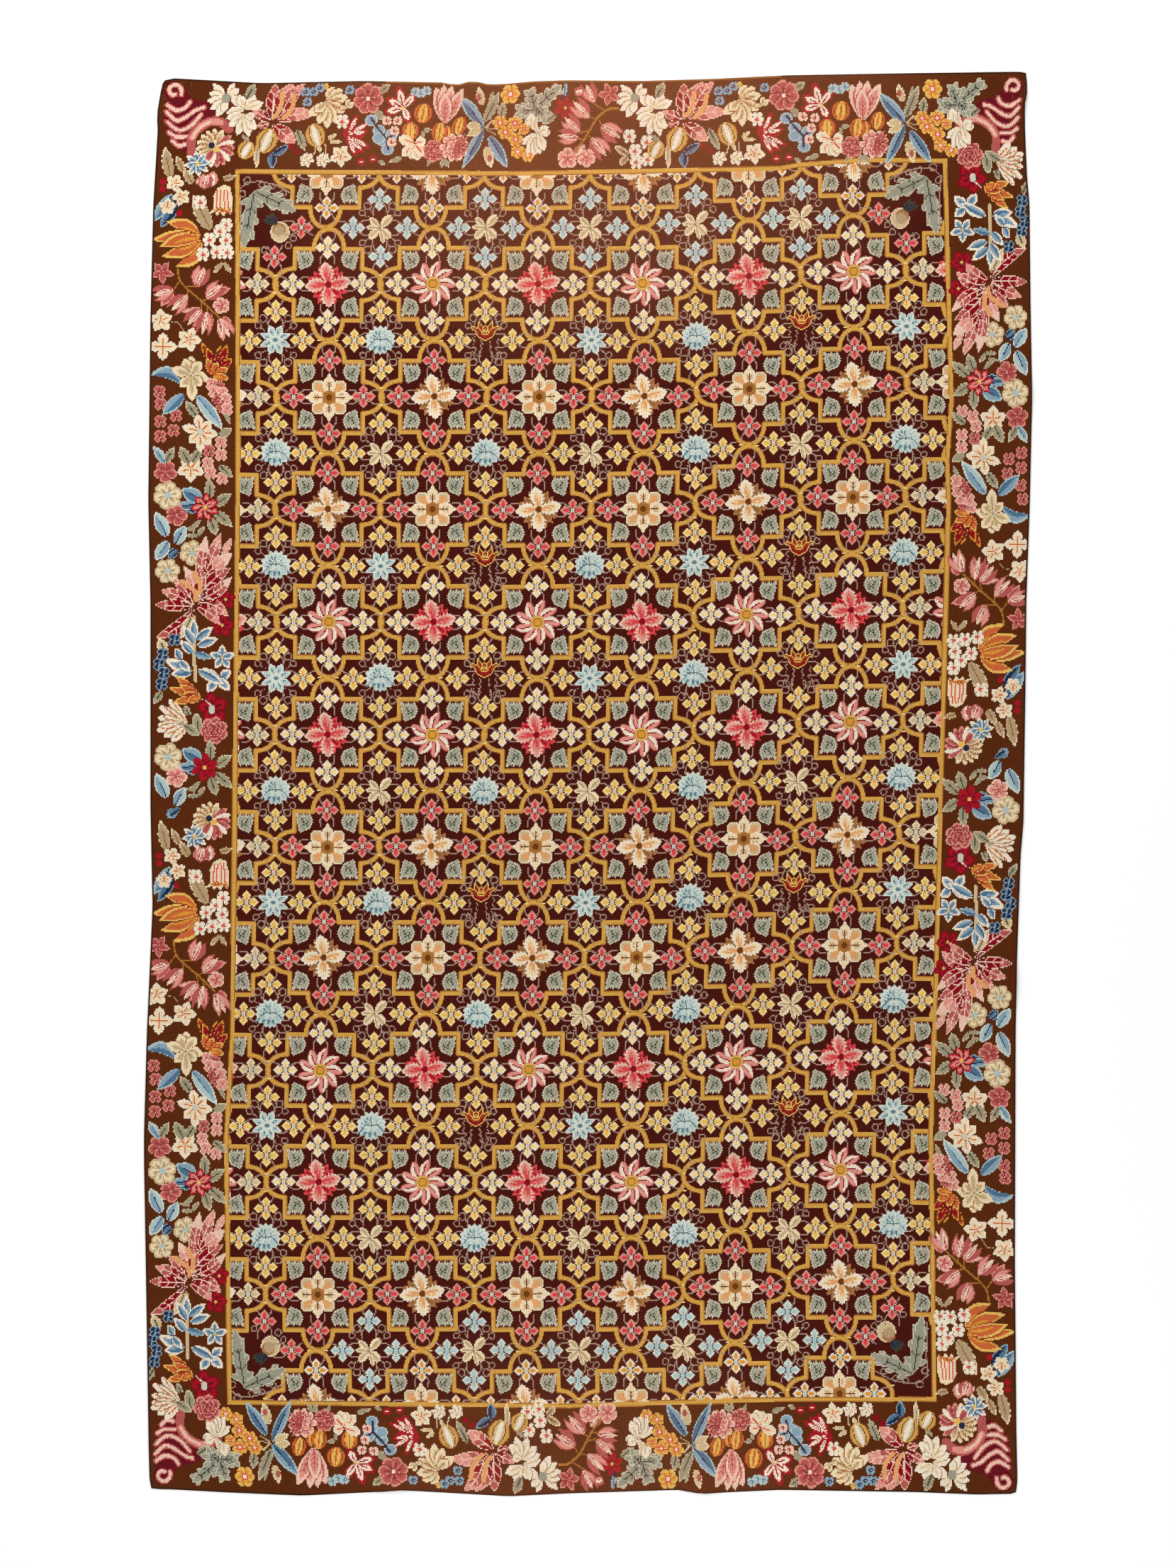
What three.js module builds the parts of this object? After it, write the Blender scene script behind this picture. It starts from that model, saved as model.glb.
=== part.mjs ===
// Needlepoint rug, laid flat: one wool-stitched canvas with turned edges, an outline that wanders a
// little as hand-stretched canvas does, and a few low cockles where it doesn't lie quite down.
// Millimetres, +Z up. The floor is z = 0, +Y the top border and +X the right border, seen from above.
import * as THREE from 'three';
import { mergeVertices } from 'three/addons/utils/BufferGeometryUtils.js';

const THICKNESS = 4; // canvas and wool stitches together
const GRID_STEP = 150; // widest spacing of the lines that the cloth is bent along
const CORNER_STEPS = [6, 24]; // closer lines near each end, for the rounded corners
const COCKLE_STEPS = [-0.9, -0.45, 0, 0.45, 0.9]; // lines across a cockle, in half-widths
const CLOSEST_LINES = 5;

// Outline. Side edges: y up the rug, x of the edge there. End edges: x along it, y of the edge.
const LEFT_EDGE = [
  { along: -1986, edge: -1231 },
  { along: -1976, edge: -1235 },
  { along: -1868, edge: -1238 },
  { along: -1416, edge: -1245 },
  { along: -1060, edge: -1251 },
  { along: -988, edge: -1251 },
  { along: -702, edge: -1243 },
  { along: -346, edge: -1227 },
  { along: -60, edge: -1233 },
  { along: 512, edge: -1233 },
  { along: 798, edge: -1239 },
  { along: 1318, edge: -1233 },
  { along: 1632, edge: -1225 },
  { along: 1784, edge: -1216 },
  { along: 1854, edge: -1212 },
  { along: 1882, edge: -1215 },
  { along: 1906, edge: -1212 },
  { along: 1946, edge: -1205 },
  { along: 1976, edge: -1200 },
  { along: 1984, edge: -1193 },
];
const RIGHT_EDGE = [
  { along: -1997, edge: 1206 },
  { along: -1966, edge: 1210 },
  { along: -1828, edge: 1207 },
  { along: -1346, edge: 1203 },
  { along: -702, edge: 1205 },
  { along: -488, edge: 1209 },
  { along: -202, edge: 1219 },
  { along: -108, edge: 1227 },
  { along: 298, edge: 1233 },
  { along: 512, edge: 1235 },
  { along: 798, edge: 1245 },
  { along: 1060, edge: 1251 },
  { along: 1120, edge: 1251 },
  { along: 1350, edge: 1247 },
  { along: 1634, edge: 1244 },
  { along: 1713, edge: 1237 },
  { along: 1828, edge: 1232 },
  { along: 1918, edge: 1230 },
  { along: 1935, edge: 1237 },
  { along: 1998, edge: 1237 },
  { along: 2005, edge: 1234 },
];
const BOTTOM_EDGE = [
  { along: -1231, edge: -1986 },
  { along: -1220, edge: -1988 },
  { along: -1183, edge: -1988 },
  { along: -1019, edge: -1997 },
  { along: -807, edge: -2006 },
  { along: -565, edge: -1994 },
  { along: -539, edge: -1990 },
  { along: -223, edge: -2008 },
  { along: -57, edge: -2000 },
  { along: 253, edge: -1990 },
  { along: 321, edge: -2000 },
  { along: 541, edge: -1990 },
  { along: 921, edge: -1996 },
  { along: 1098, edge: -2003 },
  { along: 1197, edge: -2001 },
  { along: 1206, edge: -1997 },
];
const TOP_EDGE = [
  { along: -1193, edge: 1984 },
  { along: -1183, edge: 1990 },
  { along: -921, edge: 1976 },
  { along: -637, edge: 1982 },
  { along: -413, edge: 1978 },
  { along: -372, edge: 1970 },
  { along: -350, edge: 1974 },
  { along: -322, edge: 1982 },
  { along: -298, edge: 1972 },
  { along: -240, edge: 1973 },
  { along: -153, edge: 1981 },
  { along: -59, edge: 1984 },
  { along: 149, edge: 1982 },
  { along: 357, edge: 1988 },
  { along: 563, edge: 1998 },
  { along: 921, edge: 2004 },
  { along: 1218, edge: 2008 },
  { along: 1234, edge: 2005 },
];

// Low buckles of the cloth: middle, half-length, half-width, turn of the ridge from +X, and height.
const COCKLES = [
  { x: -322, y: 1975, length: 210, width: 62, turn: 90, height: 13 }, // bump in the top edge
  { x: -1060, y: 1214, length: 190, width: 70, turn: 12, height: 6 }, // crease in the left border
  { x: 1120, y: 1090, length: 240, width: 90, turn: 4, height: 7 }, // waves in the right border
  { x: 1110, y: -560, length: 230, width: 90, turn: -5, height: 7 },
  { x: 321, y: -1990, length: 190, width: 75, turn: 86, height: 8 }, // ripples in the bottom edge
  { x: -550, y: -1985, length: 170, width: 70, turn: 95, height: 8 },
  { x: 1225, y: 1915, length: 110, width: 50, turn: 20, height: 5 }, // hem that steps in
];

function edgeAt(table, along) {
  const next = table.findIndex((row) => row.along >= along);
  if (next <= 0) return table[next === 0 ? 0 : table.length - 1].edge;
  const before = table[next - 1];
  const after = table[next];
  return THREE.MathUtils.mapLinear(along, before.along, after.along, before.edge, after.edge);
}

// Point of the cloth for two shares, 0 to 1, of the way across and up: a patch between four edges.
function clothPoint(across, up) {
  const last = (table) => table[table.length - 1].along;
  const mix = THREE.MathUtils.lerp;
  const bottomX = mix(BOTTOM_EDGE[0].along, last(BOTTOM_EDGE), across);
  const topX = mix(TOP_EDGE[0].along, last(TOP_EDGE), across);
  const leftY = mix(LEFT_EDGE[0].along, last(LEFT_EDGE), up);
  const rightY = mix(RIGHT_EDGE[0].along, last(RIGHT_EDGE), up);
  const bottomY = edgeAt(BOTTOM_EDGE, bottomX);
  const topY = edgeAt(TOP_EDGE, topX);
  const leftX = edgeAt(LEFT_EDGE, leftY);
  const rightX = edgeAt(RIGHT_EDGE, rightY);
  const endsX = mix(bottomX, topX, up);
  const sidesY = mix(leftY, rightY, across);
  const cornersX = mix(
    mix(LEFT_EDGE[0].edge, LEFT_EDGE[LEFT_EDGE.length - 1].edge, up),
    mix(RIGHT_EDGE[0].edge, RIGHT_EDGE[RIGHT_EDGE.length - 1].edge, up),
    across,
  );
  const cornersY = mix(
    mix(BOTTOM_EDGE[0].edge, BOTTOM_EDGE[BOTTOM_EDGE.length - 1].edge, across),
    mix(TOP_EDGE[0].edge, TOP_EDGE[TOP_EDGE.length - 1].edge, across),
    up,
  );
  const x = endsX + mix(leftX, rightX, across) - cornersX;
  const y = sidesY + mix(bottomY, topY, up) - cornersY;
  return new THREE.Vector2(x, y);
}

// How far the underside is off the floor: a smooth oval mound at each cockle, and 0 elsewhere.
function liftAt(x, y) {
  let lift = 0;
  for (const cockle of COCKLES) {
    const offset = new THREE.Vector2(x - cockle.x, y - cockle.y);
    offset.rotateAround(new THREE.Vector2(), -THREE.MathUtils.degToRad(cockle.turn));
    const reach = (offset.x / cockle.length) ** 2 + (offset.y / cockle.width) ** 2;
    if (reach < 1) lift = Math.max(lift, cockle.height * (1 - reach) ** 2);
  }
  return lift;
}

// Shares, 0 to 1, where the grid lines lie on a stretch: evenly, and closer at corners and cockles.
function gridShares(start, end, cockleLines) {
  const length = end - start;
  const lines = [...cockleLines];
  for (const step of CORNER_STEPS) lines.push(start + step, end - step);
  const evenCount = Math.ceil(length / GRID_STEP);
  const clear = (line, others) => others.every((other) => Math.abs(line - other) > GRID_STEP / 2);
  for (let k = 1; k < evenCount; k += 1) {
    const line = start + (length * k) / evenCount;
    if (clear(line, lines)) lines.push(line);
  }
  const inside = lines.filter((line) => line > start + 1 && line < end - 1).sort((a, b) => a - b);
  const kept = inside.filter((line, k) => k === 0 || line - inside[k - 1] > CLOSEST_LINES);
  return [start, ...kept, end].map((line) => (line - start) / length);
}

function cockleLines(axis) {
  const upright = (cockle) => Math.abs(Math.sin(THREE.MathUtils.degToRad(cockle.turn))) > 0.7;
  const crossed = COCKLES.filter((cockle) => upright(cockle) === (axis === 'x'));
  return crossed.flatMap((cockle) => COCKLE_STEPS.map((step) => cockle[axis] + step * cockle.width));
}

function rugCloth() {
  const acrossShares = gridShares(BOTTOM_EDGE[0].along, RIGHT_EDGE[0].edge, cockleLines('x'));
  const upShares = gridShares(LEFT_EDGE[0].along, TOP_EDGE[0].edge, cockleLines('y'));
  const columns = acrossShares.length - 1;
  const rows = upShares.length - 1;
  const slab = new THREE.BoxGeometry(columns, rows, 1, columns, rows, 1);
  slab.deleteAttribute('normal');
  slab.deleteAttribute('uv');
  const geometry = mergeVertices(slab);
  const position = geometry.getAttribute('position');
  for (let k = 0; k < position.count; k += 1) {
    const across = acrossShares[Math.round(position.getX(k) + columns / 2)];
    const up = upShares[Math.round(position.getY(k) + rows / 2)];
    const place = clothPoint(across, up);
    const face = position.getZ(k) > 0 ? THICKNESS : 0;
    position.setXYZ(k, place.x, place.y, liftAt(place.x, place.y) + face);
  }
  geometry.computeBoundingBox();
  const middle = geometry.boundingBox.getCenter(new THREE.Vector3());
  geometry.translate(-middle.x, -middle.y, 0);
  geometry.computeVertexNormals();
  return geometry;
}

const wool = new THREE.MeshStandardMaterial({ color: 0x5a3020, roughness: 0.95, metalness: 0 });
const cloth = new THREE.Mesh(rugCloth(), wool);
cloth.name = 'rug_cloth';

const rug = new THREE.Group();
rug.add(cloth);

export default rug;
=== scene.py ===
# %% [markdown]
# # A needlepoint rug
# The rug is one canvas, 2.5 by 4.0 m, covered with slanting wool stitches. A maker works it from a
# chart: squared paper on which each square is one stitch and each colour one wool. The script goes
# the same way. It fills a chart with drawing functions, one for each flower, leaf and scroll, then
# lays the chart over the rug's own uneven outline and makes every patch of like stitches a face.
#
# A painted texture on one flat sheet could carry the same drawing. The chart is chosen because it
# keeps the small steps of real needlepoint in the mesh itself, so they stay sharp from close by.

# %% Load the frame
import math
from collections import namedtuple

import bmesh
import bpy
import numpy as np
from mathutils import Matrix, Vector


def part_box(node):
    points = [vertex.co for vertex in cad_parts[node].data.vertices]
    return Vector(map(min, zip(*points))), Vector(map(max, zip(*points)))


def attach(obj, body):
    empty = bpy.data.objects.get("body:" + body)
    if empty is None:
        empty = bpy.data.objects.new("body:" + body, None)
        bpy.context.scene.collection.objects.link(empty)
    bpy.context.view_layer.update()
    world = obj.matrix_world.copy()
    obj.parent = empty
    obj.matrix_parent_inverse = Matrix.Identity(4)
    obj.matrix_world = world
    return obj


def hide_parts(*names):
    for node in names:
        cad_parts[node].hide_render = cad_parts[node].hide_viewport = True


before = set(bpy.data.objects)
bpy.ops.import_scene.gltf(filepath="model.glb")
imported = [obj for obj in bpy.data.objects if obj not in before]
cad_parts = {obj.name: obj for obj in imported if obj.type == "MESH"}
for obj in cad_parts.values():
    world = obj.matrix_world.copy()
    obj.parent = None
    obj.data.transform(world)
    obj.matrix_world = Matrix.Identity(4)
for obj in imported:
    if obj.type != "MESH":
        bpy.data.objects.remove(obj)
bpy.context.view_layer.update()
NODE = "rug_cloth"
node_low, node_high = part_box(NODE)
print("rug solid, metres:", [round(node_high[k] - node_low[k], 3) for k in range(3)])

# %% [markdown]
# ## The cloth's outline
# A hand-stretched canvas never ends up square. Each of the four edges is a short table of points,
# joined by a smooth curve, and the cloth between them is a patch: every point of it follows the two
# side edges and the two end edges in proportion. The chart is laid on this patch, so its rows and
# columns lean and bow as the edges do. A lattice or a curve modifier could bend a flat rug too, but
# a function gives the place of any stitch, which the drawing needs as well.

# %% Outline tables and the cloth patch
MM = 0.001  # the tables are in millimetres from the rug's middle, +y towards the top border

# columns: y, x of the edge there
LEFT_EDGE = (
    (-1986, -1231), (-1976, -1235), (-1868, -1238), (-1416, -1245), (-1060, -1251),
    (-988, -1251), (-702, -1243), (-346, -1227), (-60, -1233), (512, -1233), (798, -1239),
    (1318, -1233), (1632, -1225), (1784, -1216), (1854, -1212), (1882, -1215), (1906, -1212),
    (1946, -1205), (1976, -1200), (1984, -1193),
)
RIGHT_EDGE = (
    (-1997, 1206), (-1966, 1210), (-1828, 1207), (-1346, 1203), (-702, 1205), (-488, 1209),
    (-202, 1219), (-108, 1227), (298, 1233), (512, 1235), (798, 1245), (1060, 1251),
    (1120, 1251), (1350, 1247), (1634, 1244), (1713, 1237), (1828, 1232), (1918, 1230),
    (1935, 1237), (1998, 1237), (2005, 1234),
)
# columns: x, y of the edge there
BOTTOM_EDGE = (
    (-1231, -1986), (-1220, -1988), (-1183, -1988), (-1019, -1997), (-807, -2006),
    (-565, -1994), (-539, -1990), (-223, -2008), (-57, -2000), (253, -1990), (321, -2000),
    (541, -1990), (921, -1996), (1098, -2003), (1197, -2001), (1206, -1997),
)
TOP_EDGE = (
    (-1193, 1984), (-1183, 1990), (-921, 1976), (-637, 1982), (-413, 1978), (-372, 1970),
    (-350, 1974), (-322, 1982), (-298, 1972), (-240, 1973), (-153, 1981), (-59, 1984),
    (149, 1982), (357, 1988), (563, 1998), (921, 2004), (1218, 2008), (1234, 2005),
)


Edge = namedtuple("Edge", "along off sweep waves")  # along and off: values at its two ends
SWEEP_DEGREE = 4
WAVE_DEPTH = 1 / 12  # share of the rug over which the small waves of an edge die out


def edge_curve(table):
    """One edge of the rug: where it ends, its long sweep and the small waves on it."""
    along, off = (np.array(column, float) for column in zip(*table))
    reach = along[-1] - along[0]
    curve = np.polynomial.Polynomial.fit(along, off, SWEEP_DEGREE, w=np.gradient(along))

    def sweep(where):
        share = (where - along[0]) / reach
        ends = (off[0] - curve(along[0])) * (1 - share) + (off[-1] - curve(along[-1])) * share
        return curve(where) + ends

    def waves(where):
        return np.interp(where, along, off) - sweep(where)

    return Edge((along[0], along[-1]), (off[0], off[-1]), sweep, waves)


LEFT, RIGHT = edge_curve(LEFT_EDGE), edge_curve(RIGHT_EDGE)
BOTTOM, TOP = edge_curve(BOTTOM_EDGE), edge_curve(TOP_EDGE)
print("left edge, mm:", *LEFT.along, "right edge, mm:", *RIGHT.along)


# %% Place on the cloth
def mix(low, high, share):
    return low + (high - low) * share


def near_edge(share):
    """1 on an edge, and 0 from WAVE_DEPTH of the way across."""
    return np.clip(1 - share / WAVE_DEPTH, 0, 1) ** 2


def cloth_point(across, up):
    """Place on the cloth, in mm, for shares from 0 to 1 of the way across and up."""
    bottom_x, top_x = mix(*BOTTOM.along, across), mix(*TOP.along, across)
    left_y, right_y = mix(*LEFT.along, up), mix(*RIGHT.along, up)
    sides_x = mix(LEFT.sweep(left_y), RIGHT.sweep(right_y), across)
    ends_y = mix(BOTTOM.sweep(bottom_x), TOP.sweep(top_x), up)
    corners_x = mix(mix(*LEFT.off, up), mix(*RIGHT.off, up), across)
    corners_y = mix(mix(*BOTTOM.off, across), mix(*TOP.off, across), up)
    x = mix(bottom_x, top_x, up) + sides_x - corners_x
    y = mix(left_y, right_y, across) + ends_y - corners_y
    x = x + LEFT.waves(left_y) * near_edge(across) + RIGHT.waves(right_y) * near_edge(1 - across)
    y = y + BOTTOM.waves(bottom_x) * near_edge(up) + TOP.waves(top_x) * near_edge(1 - up)
    return x, y


print("middle of the cloth, mm:", *(round(float(value), 1) for value in cloth_point(0.5, 0.5)))

# %% [markdown]
# ## The stitch gauge
# At about 7.5 stitches to the inch, the canvas takes 748 stitches across and 1136 rows. A tent
# stitch is a little taller than wide. `stitch_at` finds the stitch under a place on the rug. The
# cloth patch has no simple inverse, so it guesses, measures how far off it is and steps nearer.

# %% Chart size and the stitch under a place
STITCH_WIDE, STITCH_TALL = 3.3, 3.52  # mm
COLUMNS, ROWS = 748, 1136
WIDTH, LENGTH = COLUMNS * STITCH_WIDE, ROWS * STITCH_TALL
STEPS_BACK = 6  # after these the guess is well within a stitch
chart = np.zeros((ROWS, COLUMNS), np.uint8)


def stitch_at(at):
    """Column and row, as fractions, of a place in mm."""
    across, up = at[0] / WIDTH + 0.5, at[1] / LENGTH + 0.5
    for _ in range(STEPS_BACK):
        x, y = cloth_point(across, up)
        across += (at[0] - x) / WIDTH
        up += (at[1] - y) / LENGTH
    return across * COLUMNS, up * ROWS


print("stitches:", COLUMNS, "by", ROWS)

# %% [markdown]
# ## The wools
# A needlepoint this size is worked in some forty wools. Each has a name and a colour, given as the
# usual 0 to 255 values. The chart holds the wools' numbers, so a wool can be changed everywhere by
# one line here, as one material for each wool couldn't be without dozens of slots.

# %% Wool colours
WOOLS = {
    "umber": (88, 44, 18),
    "walnut": (58, 32, 17),
    "maroon": (71, 23, 16),
    "gold": (209, 162, 84),
    "old gold": (166, 114, 56),
    "amber": (218, 156, 68),
    "honey": (226, 186, 104),
    "lemon": (240, 214, 150),
    "cream": (234, 214, 178),
    "ivory": (236, 222, 202),
    "oat": (204, 182, 142),
    "taupe": (178, 154, 120),
    "fawn": (168, 118, 78),
    "bark": (110, 62, 28),
    "sage": (152, 150, 132),
    "pale sage": (198, 191, 168),
    "spruce": (60, 60, 52),
    "lichen": (158, 148, 122),
    "stone": (200, 188, 160),
    "wine": (142, 56, 60),
    "tendril": (164, 138, 122),
    "frost": (200, 198, 182),
    "ice": (174, 192, 190),
    "pale ice": (208, 214, 202),
    "teal": (98, 126, 132),
    "sky": (136, 160, 174),
    "blue": (84, 114, 138),
    "navy": (36, 44, 64),
    "shell": (234, 196, 176),
    "pink": (220, 150, 136),
    "rose": (178, 94, 90),
    "coral": (212, 82, 84),
    "red": (164, 32, 46),
    "crimson": (136, 20, 36),
    "garnet": (102, 24, 34),
    "peach": (222, 164, 112),
    "orange": (200, 108, 66),
    "rust": (146, 58, 38),
    "olive": (142, 100, 56),
}
WOOL_NUMBER = {name: number for number, name in enumerate(WOOLS)}
print("wools:", len(WOOLS))

# %% [markdown]
# ## Drawing on the chart
# Five tools draw every motif: a blade (petal or leaf, with toothed edge, rim and veins), a disc, a
# line that is one or more stitches wide, an area with corners, and a small motif charted stitch by
# stitch. The first four look at the stitches round a place, measure their offset from it in mm and
# give the ones inside their shape a wool. Curve objects filled and cut by the stitches would do it
# as well, but slowly: the rug has thousands of petals.

# %% Stitches round a place
THREAD = 3.4  # mm, about one stitch


def around(at, reach):
    """Chart window round a place, and the offsets in mm of its stitches."""
    column, row = (math.floor(value) for value in stitch_at(at))
    wide, tall = int(reach / STITCH_WIDE) + 2, int(reach / STITCH_TALL) + 2
    columns = np.arange(max(column - wide, 0), max(min(column + wide, COLUMNS), 0))
    rows = np.arange(max(row - tall, 0), max(min(row + tall, ROWS), 0))
    window = np.ix_(rows, columns)
    x = (columns - column) * STITCH_WIDE
    y = (rows - row) * STITCH_TALL
    return window, *np.meshgrid(x, y)


def stitch(window, inside, wool, over=()):
    """Give stitches a wool: all of those inside, or only the ones that have certain wools now."""
    block = chart[window]
    if over:
        inside = inside & np.isin(block, [WOOL_NUMBER[name] for name in over])
    block[inside] = WOOL_NUMBER[wool]
    chart[window] = block


# %% Blade: a petal or leaf
VEIN_SPAN = (0.06, 0.76)  # shares of the length
RIB_SPAN = (0.1, 0.85)
RIB_SLANT = 0.9


def blade(at, turn, length, width, fill, edge=None, vein=None, start=0.0, belly=0.5, teeth=0,
          depth=0.35, bend=0.0, bow=0.0, ribs=0, blunt=0.5, tip=None, rim=THREAD, side=None, over=()):
    """Petal or leaf that starts near a place and points along turn, in degrees.

    The fill is one wool, or several that follow one another from base to tip. Belly is the share of
    the length where it is widest, and blunt and tip say how its base and its tip taper: more is
    sharper. Bend and bow curve it. Side is the wool of its left half, and over the wools that it may
    cover.
    """
    window, x, y = around(at, start + length + width)
    angle = math.radians(turn)
    along = (x * math.cos(angle) + y * math.sin(angle) - start) / length
    across = y * math.cos(angle) - x * math.sin(angle)
    across = across - bend * length * along * np.abs(along)
    share = np.clip(along, 0.0, 1.0)
    across = across - bow * length * 4 * share * (1 - share)
    swell = np.sin(math.pi * share ** (math.log(0.5) / math.log(belly))).clip(0, 1)
    half = width / 2 * swell ** (blunt + ((blunt if tip is None else tip) - blunt) * share)
    if teeth:
        half = half * (1.0 - depth * (1.0 - (share * teeth) % 1.0))
    off = np.abs(across)
    inside = (along > 0) & (along < 1) & (off < half)
    fills = (fill,) if isinstance(fill, str) else fill or ()
    for number, wool in enumerate(fills):
        stitch(window, inside & (along * len(fills) >= number), wool, over)
    if side:
        stitch(window, inside & (across > 0), side)
    if edge:
        stitch(window, inside & ((off > half - rim) | (along > 1 - rim / length)), edge)
    if vein:
        core = inside & (off < half - rim)
        low, high = VEIN_SPAN
        stitch(window, core & (off < THREAD * 0.5) & (along < high) & (along > low), vein)
        if ribs:
            slope = (along - off / length * RIB_SLANT) * ribs
            one_stitch = THREAD * ribs / length
            low, high = RIB_SPAN
            stitch(window, core & ((slope % 1.0) < one_stitch) & (along < high) & (along > low), vein)


# %% Charted motif and disc
def charted(at, drawing, wools, right=1, up=1):
    """Small motif from a drawing: a letter is a stitch and its wool, a dot leaves the ground.

    Right and up are 1, or -1 for a mirrored motif.
    """
    middle_column, middle_row = (math.floor(value) for value in stitch_at(at))
    drawing = [letters[::right] for letters in drawing[::up]]
    for down, letters in enumerate(drawing):
        row = middle_row + len(drawing) // 2 - down
        for across, letter in enumerate(letters):
            column = middle_column + across - len(letters) // 2
            if letter in wools and 0 <= row < ROWS and 0 <= column < COLUMNS:
                chart[row, column] = WOOL_NUMBER[wools[letter]]


def disc(at, radius, wool, ring=None, tall=1.0):
    """Round or upright oval spot, with a ring of one stitch if asked."""
    window, x, y = around(at, radius * max(1.0, tall))
    distance = np.hypot(x, y / tall)
    stitch(window, distance < radius, wool)
    if ring:
        stitch(window, (distance < radius) & (distance > radius - THREAD), ring)


# %% Lines, loops and areas
LOOP_POINTS = 14
CURVE_POINTS = 8  # between two places of a smooth curve


def line(points, wool, width=0.0, dash=0):
    """Run of stitches through some places: one stitch wide, or as wide as asked."""
    spots = np.array([stitch_at(point) for point in points])
    reach = width / 2 + 0.1
    for (column_a, row_a), (column_b, row_b) in zip(spots, spots[1:]):
        steps = int(max(abs(column_b - column_a), abs(row_b - row_a))) * 2 + 1
        share = np.linspace(0, 1, steps + 1)
        columns = mix(column_a, column_b, share)
        rows = mix(row_a, row_b, share)
        for dx in np.arange(-width / 2, reach, STITCH_WIDE / 2):
            for dy in np.arange(-width / 2, reach, STITCH_TALL / 2):
                if math.hypot(dx, dy) <= reach:
                    column = (columns + dx / STITCH_WIDE).astype(int)
                    row = (rows + dy / STITCH_TALL).astype(int)
                    keep = (column >= 0) & (column < COLUMNS) & (row >= 0) & (row < ROWS)
                    if dash:
                        keep &= (row + column) % dash > 0
                    chart[row[keep], column[keep]] = WOOL_NUMBER[wool]


def shifted(at, dx, dy):
    return (at[0] + dx, at[1] + dy)


def around_circle(at, radius, turn):
    """Place on a circle round another, at a turn in degrees."""
    angle = math.radians(turn)
    return shifted(at, radius * math.cos(angle), radius * math.sin(angle))


def loop(at, radius, wool, start=0, sweep=330):
    """Open ring of single stitches."""
    turns = np.linspace(start, start + sweep, LOOP_POINTS)
    line([around_circle(at, radius, turn) for turn in turns], wool)


def area(points, wool):
    """Fill a shape given by its corners."""
    middle = tuple(np.mean(points, axis=0))
    reach = max(math.dist(middle, point) for point in points)
    window, x, y = around(middle, reach)
    x, y = x + middle[0], y + middle[1]
    inside = np.zeros(x.shape, bool)
    for (ax, ay), (bx, by) in zip(points, [*points[1:], points[0]]):
        if ay != by:
            inside ^= ((ay > y) != (by > y)) & (x < (bx - ax) * (y - ay) / (by - ay) + ax)
    stitch(window, inside, wool)


def smooth(points):
    """Points of a curve that runs through some places."""
    points = [points[0], *points, points[-1]]
    curve = []
    for p0, p1, p2, p3 in zip(points, points[1:], points[2:], points[3:]):
        for t in np.linspace(0, 1, CURVE_POINTS, endpoint=False):
            curve.append(tuple(
                0.5 * (2 * b + (c - a) * t + (2 * a - 5 * b + 4 * c - d) * t * t
                       + (3 * b - a - 3 * c + d) * t ** 3)
                for a, b, c, d in zip(p0, p1, p2, p3)))
    return [*curve, tuple(points[-1])]


# %% [markdown]
# ## The field's lattice
# The maroon field is covered by cells outlined in gold: a square with a round lobe on each side. They
# meet lobe to lobe, so a second, smaller cell is left open between every four of them. An array of
# one cell would be too even. The maker's rows drift, so a table says where each row begins and ends.

# %% Lattice places and the gold outline
CELL_COLUMNS, CELL_ROWS = 6, 10
# columns: x of the first and the last cell of a row, y of the row. The top and bottom rows are cut.
CELL_PLACES = (
    (-736, 748, 1727), (-734, 748, 1410), (-731, 751, 1092), (-733, 747, 774), (-732, 740, 457),
    (-735, 741, 139), (-736, 731, -177), (-745, 723, -491), (-755, 713, -806), (-761, 713, -1123),
    (-763, 712, -1439), (-765, 711, -1756),
)
COLUMN_LIFT = (0, 0, 0, -1, 1, 21, 35, 42)  # mm that each column sits higher, from the left one
SQUARE = (95.0, 101.0)  # half sides of a cell's square
LOBE_HALF = (42.5, 44.5)  # half widths of the end lobes and the side lobes
LOBE_REACH = (150.0, 158.0)  # how far the side lobes and the end lobes reach
STRIPE_WIDE = 13.0
LATTICE_SHADE = (0.2, -1.3)  # mm that the dark edge and the gold reach past half the stripe's width
OUTLINE_POINTS = 14  # round each lobe


def lattice(column, row):
    """Middle of a cell, or of an open cell for a column and row with halves."""
    rows = np.arange(-1, CELL_ROWS + 1)
    first, last, height = (np.interp(row, rows, values) for values in zip(*CELL_PLACES))
    lift = np.interp(column, np.arange(-1, CELL_COLUMNS + 1), COLUMN_LIFT)
    return (first + (last - first) * column / (CELL_COLUMNS - 1), height + lift)


def outline_path():
    """Quarter of a cell's outline, from the tip of its side lobe to the tip of its end lobe."""
    quarter = np.linspace(0, math.pi / 2, OUTLINE_POINTS)
    side = [(SQUARE[0] + (LOBE_REACH[0] - SQUARE[0]) * math.cos(a), LOBE_HALF[1] * math.sin(a))
            for a in quarter]
    end = [(LOBE_HALF[0] * math.cos(a), SQUARE[1] + (LOBE_REACH[1] - SQUARE[1]) * math.sin(a))
           for a in quarter]
    corner = [SQUARE]
    return np.array(side + corner + end)


def distance_to_path(x, y, path):
    nearest = np.full(x.shape, np.inf)
    for (ax, ay), (bx, by) in zip(path, path[1:]):
        dx, dy = bx - ax, by - ay
        share = np.clip(((x - ax) * dx + (y - ay) * dy) / (dx * dx + dy * dy + 1e-9), 0, 1)
        nearest = np.minimum(nearest, np.hypot(x - ax - share * dx, y - ay - share * dy))
    return nearest


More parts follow.
